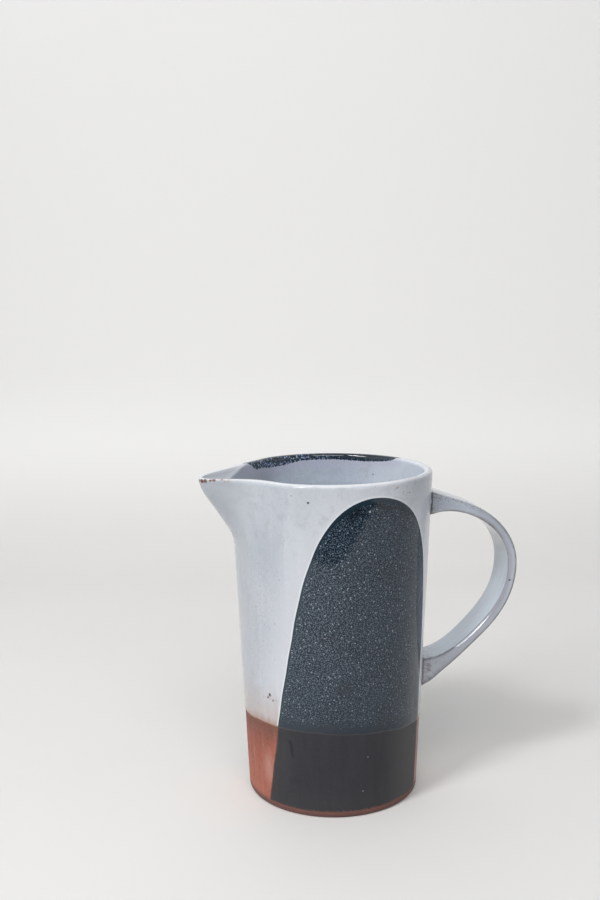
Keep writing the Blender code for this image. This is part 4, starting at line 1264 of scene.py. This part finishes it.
net = Net("floor")
colour = net.blend(net.span(net.noise(3.0, 3.0), 0.3, 0.7), (0.785, 0.778, 0.768), (0.805, 0.798, 0.788))
colour = net.blend(net.span(net.axis(2), 5.0, 120.0), colour, (0.930, 0.928, 0.925))
floor_paint = net.done(colour, 0.75, net.relief(net.noise(500.0, 2.0), 0.1 * MM, 0.15))
net = Net("flag")
net.shader.inputs["Specular IOR Level"].default_value = 0.0
flag_paint = net.done(net.blend(net.noise(2.0), (0.05, 0.05, 0.055), (0.07, 0.07, 0.07)), 1.0)


def plates(name, corners, paint):
    """Rectangles of the stage, square to the camera."""
    points, faces = [], []
    for (x0, y0, z0), (x1, y1, z1) in corners:
        n = len(points)
        points += [(x0, y0, z0), (x1, y0, z0), (x1, y1, z1), (x0, y1, z1)]
        faces.append((n, n + 1, n + 2, n + 3))
    mesh = bpy.data.meshes.new(name)
    mesh.from_pydata(points, [], faces)
    bm = bmesh.new()
    bm.from_mesh(mesh)
    bmesh.ops.remove_doubles(bm, verts=bm.verts, dist=1e-6)
    bm.to_mesh(mesh)
    bm.free()
    mesh.shade_smooth()
    mesh.materials.append(paint)
    obj = bpy.data.objects.new(name, mesh)
    obj.matrix_world = square.to_4x4()
    bpy.context.scene.collection.objects.link(obj)
    obj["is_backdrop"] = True
    return obj


# floor under the jug with a sweep up behind, and the rest of the floor round it
LEFT, FRONT, RIGHT, BACK, SWEEP = -0.52, -0.43, 1.2, 0.42, 0.18
cove = [(BACK + SWEEP * math.sin(t), SWEEP - SWEEP * math.cos(t))
        for t in np.linspace(0.0, math.pi / 2.0, 25)] + [(BACK + SWEEP, 0.8), (BACK + SWEEP, 2.2)]
plates("floor", [((LEFT, FRONT, 0.0), (RIGHT, BACK, 0.0))]
       + [((-3.0, *a), (3.0, *b)) for a, b in zip(cove[:-1], cove[1:])], floor_paint)
floor_round = plates("floor_round", [((-3.0, -3.0, 0.0), (LEFT, BACK, 0.0)),
                                     ((RIGHT, -3.0, 0.0), (3.0, BACK, 0.0)),
                                     ((LEFT, -3.0, 0.0), (RIGHT, FRONT, 0.0))], floor_paint)
# dark cards stand in for the unlit room in front and to the left, in gloss and bounce only
flag = plates("flag", [((-3.0, -3.0, -0.01), (LEFT, BACK, -0.01)),
                       ((LEFT, -3.0, -0.01), (RIGHT, FRONT, -0.01))], flag_paint)
for obj, seen in ((floor_round, True), (flag, False)):
    obj.visible_camera = seen
    obj.visible_diffuse = obj.visible_glossy = not seen
    obj.visible_shadow = obj.visible_transmission = False

# soft light from both sides
world = bpy.data.worlds.new("studio")
world.use_nodes = True
tree = world.node_tree
backing = tree.nodes["Background"]
heading = tree.nodes.new("ShaderNodeVectorMath")
heading.operation = "DOT_PRODUCT"
tree.links.new(tree.nodes.new("ShaderNodeTexCoord").outputs["Generated"], heading.inputs[0])
heading.inputs[1].default_value = square @ Vector((1.0, 0.0, 0.0))
level = tree.nodes.new("ShaderNodeFloatCurve")
for place, amount in zip((0, 1), (1.00, 0.68)):
    level.mapping.curves[0].points[place].location = (place, amount)
level.mapping.curves[0].points.new(0.5, 0.05)
for point in level.mapping.curves[0].points:
    point.handle_type = "VECTOR"
level.mapping.update()
share = tree.nodes.new("ShaderNodeMapRange")
share.inputs["From Min"].default_value = -1.0
tree.links.new(heading.outputs["Value"], share.inputs["Value"])
tree.links.new(share.outputs["Result"], level.inputs["Value"])
tree.links.new(level.outputs["Value"], backing.inputs["Strength"])
backing.inputs["Color"].default_value = (0.97, 0.985, 1.0, 1.0)
bpy.context.scene.world = world


def softbox(name, place, target, along, width, length, power, colour):
    light = bpy.data.lights.new(name, "AREA")
    light.shape = "RECTANGLE"
    light.size, light.size_y = width, length
    light.energy = power
    light.color = colour
    obj = bpy.data.objects.new(name, light)
    back = (Vector(place) - Vector(target)).normalized()
    across = Vector(along).cross(back).normalized()
    facing = Matrix((across, back.cross(across), back)).transposed()
    obj.matrix_world = (Matrix.Translation(square @ Vector(place)) @ (square @ facing).to_4x4())
    bpy.context.scene.collection.objects.link(obj)
    obj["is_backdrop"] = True
    return obj


def aloft(degrees, climb, far):
    """A place seen from the jug: degrees right of the camera, and degrees up."""
    a, e = math.radians(degrees), math.radians(climb)
    return (far * math.sin(a) * math.cos(e), -far * math.cos(a) * math.cos(e), far * math.sin(e) + 0.08)


softbox("key", aloft(-38.0, 55.0, 1.6), (0.0, 0.0, 0.08), (0.0, 0.0, 1.0), 0.26, 0.28, 6.2, (1.0, 0.99, 0.97))
softbox("fill", aloft(5.0, 50.0, 1.6), (0.0, 0.0, 0.08), (0.0, 1.0, 0.5), 0.9, 0.9, 8.0, (1.0, 0.995, 0.985))
softbox("side", aloft(-43.5, 38.5, 1.6), (0.0, 0.0, 0.10), (0.0, 0.0, 1.0), 0.34, 0.56, 5.5, (1.0, 0.99, 0.97))

bpy.context.scene.view_settings.view_transform = "Standard"
bpy.context.scene.view_settings.look = "None"

bpy.context.view_layer.update()
low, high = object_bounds()
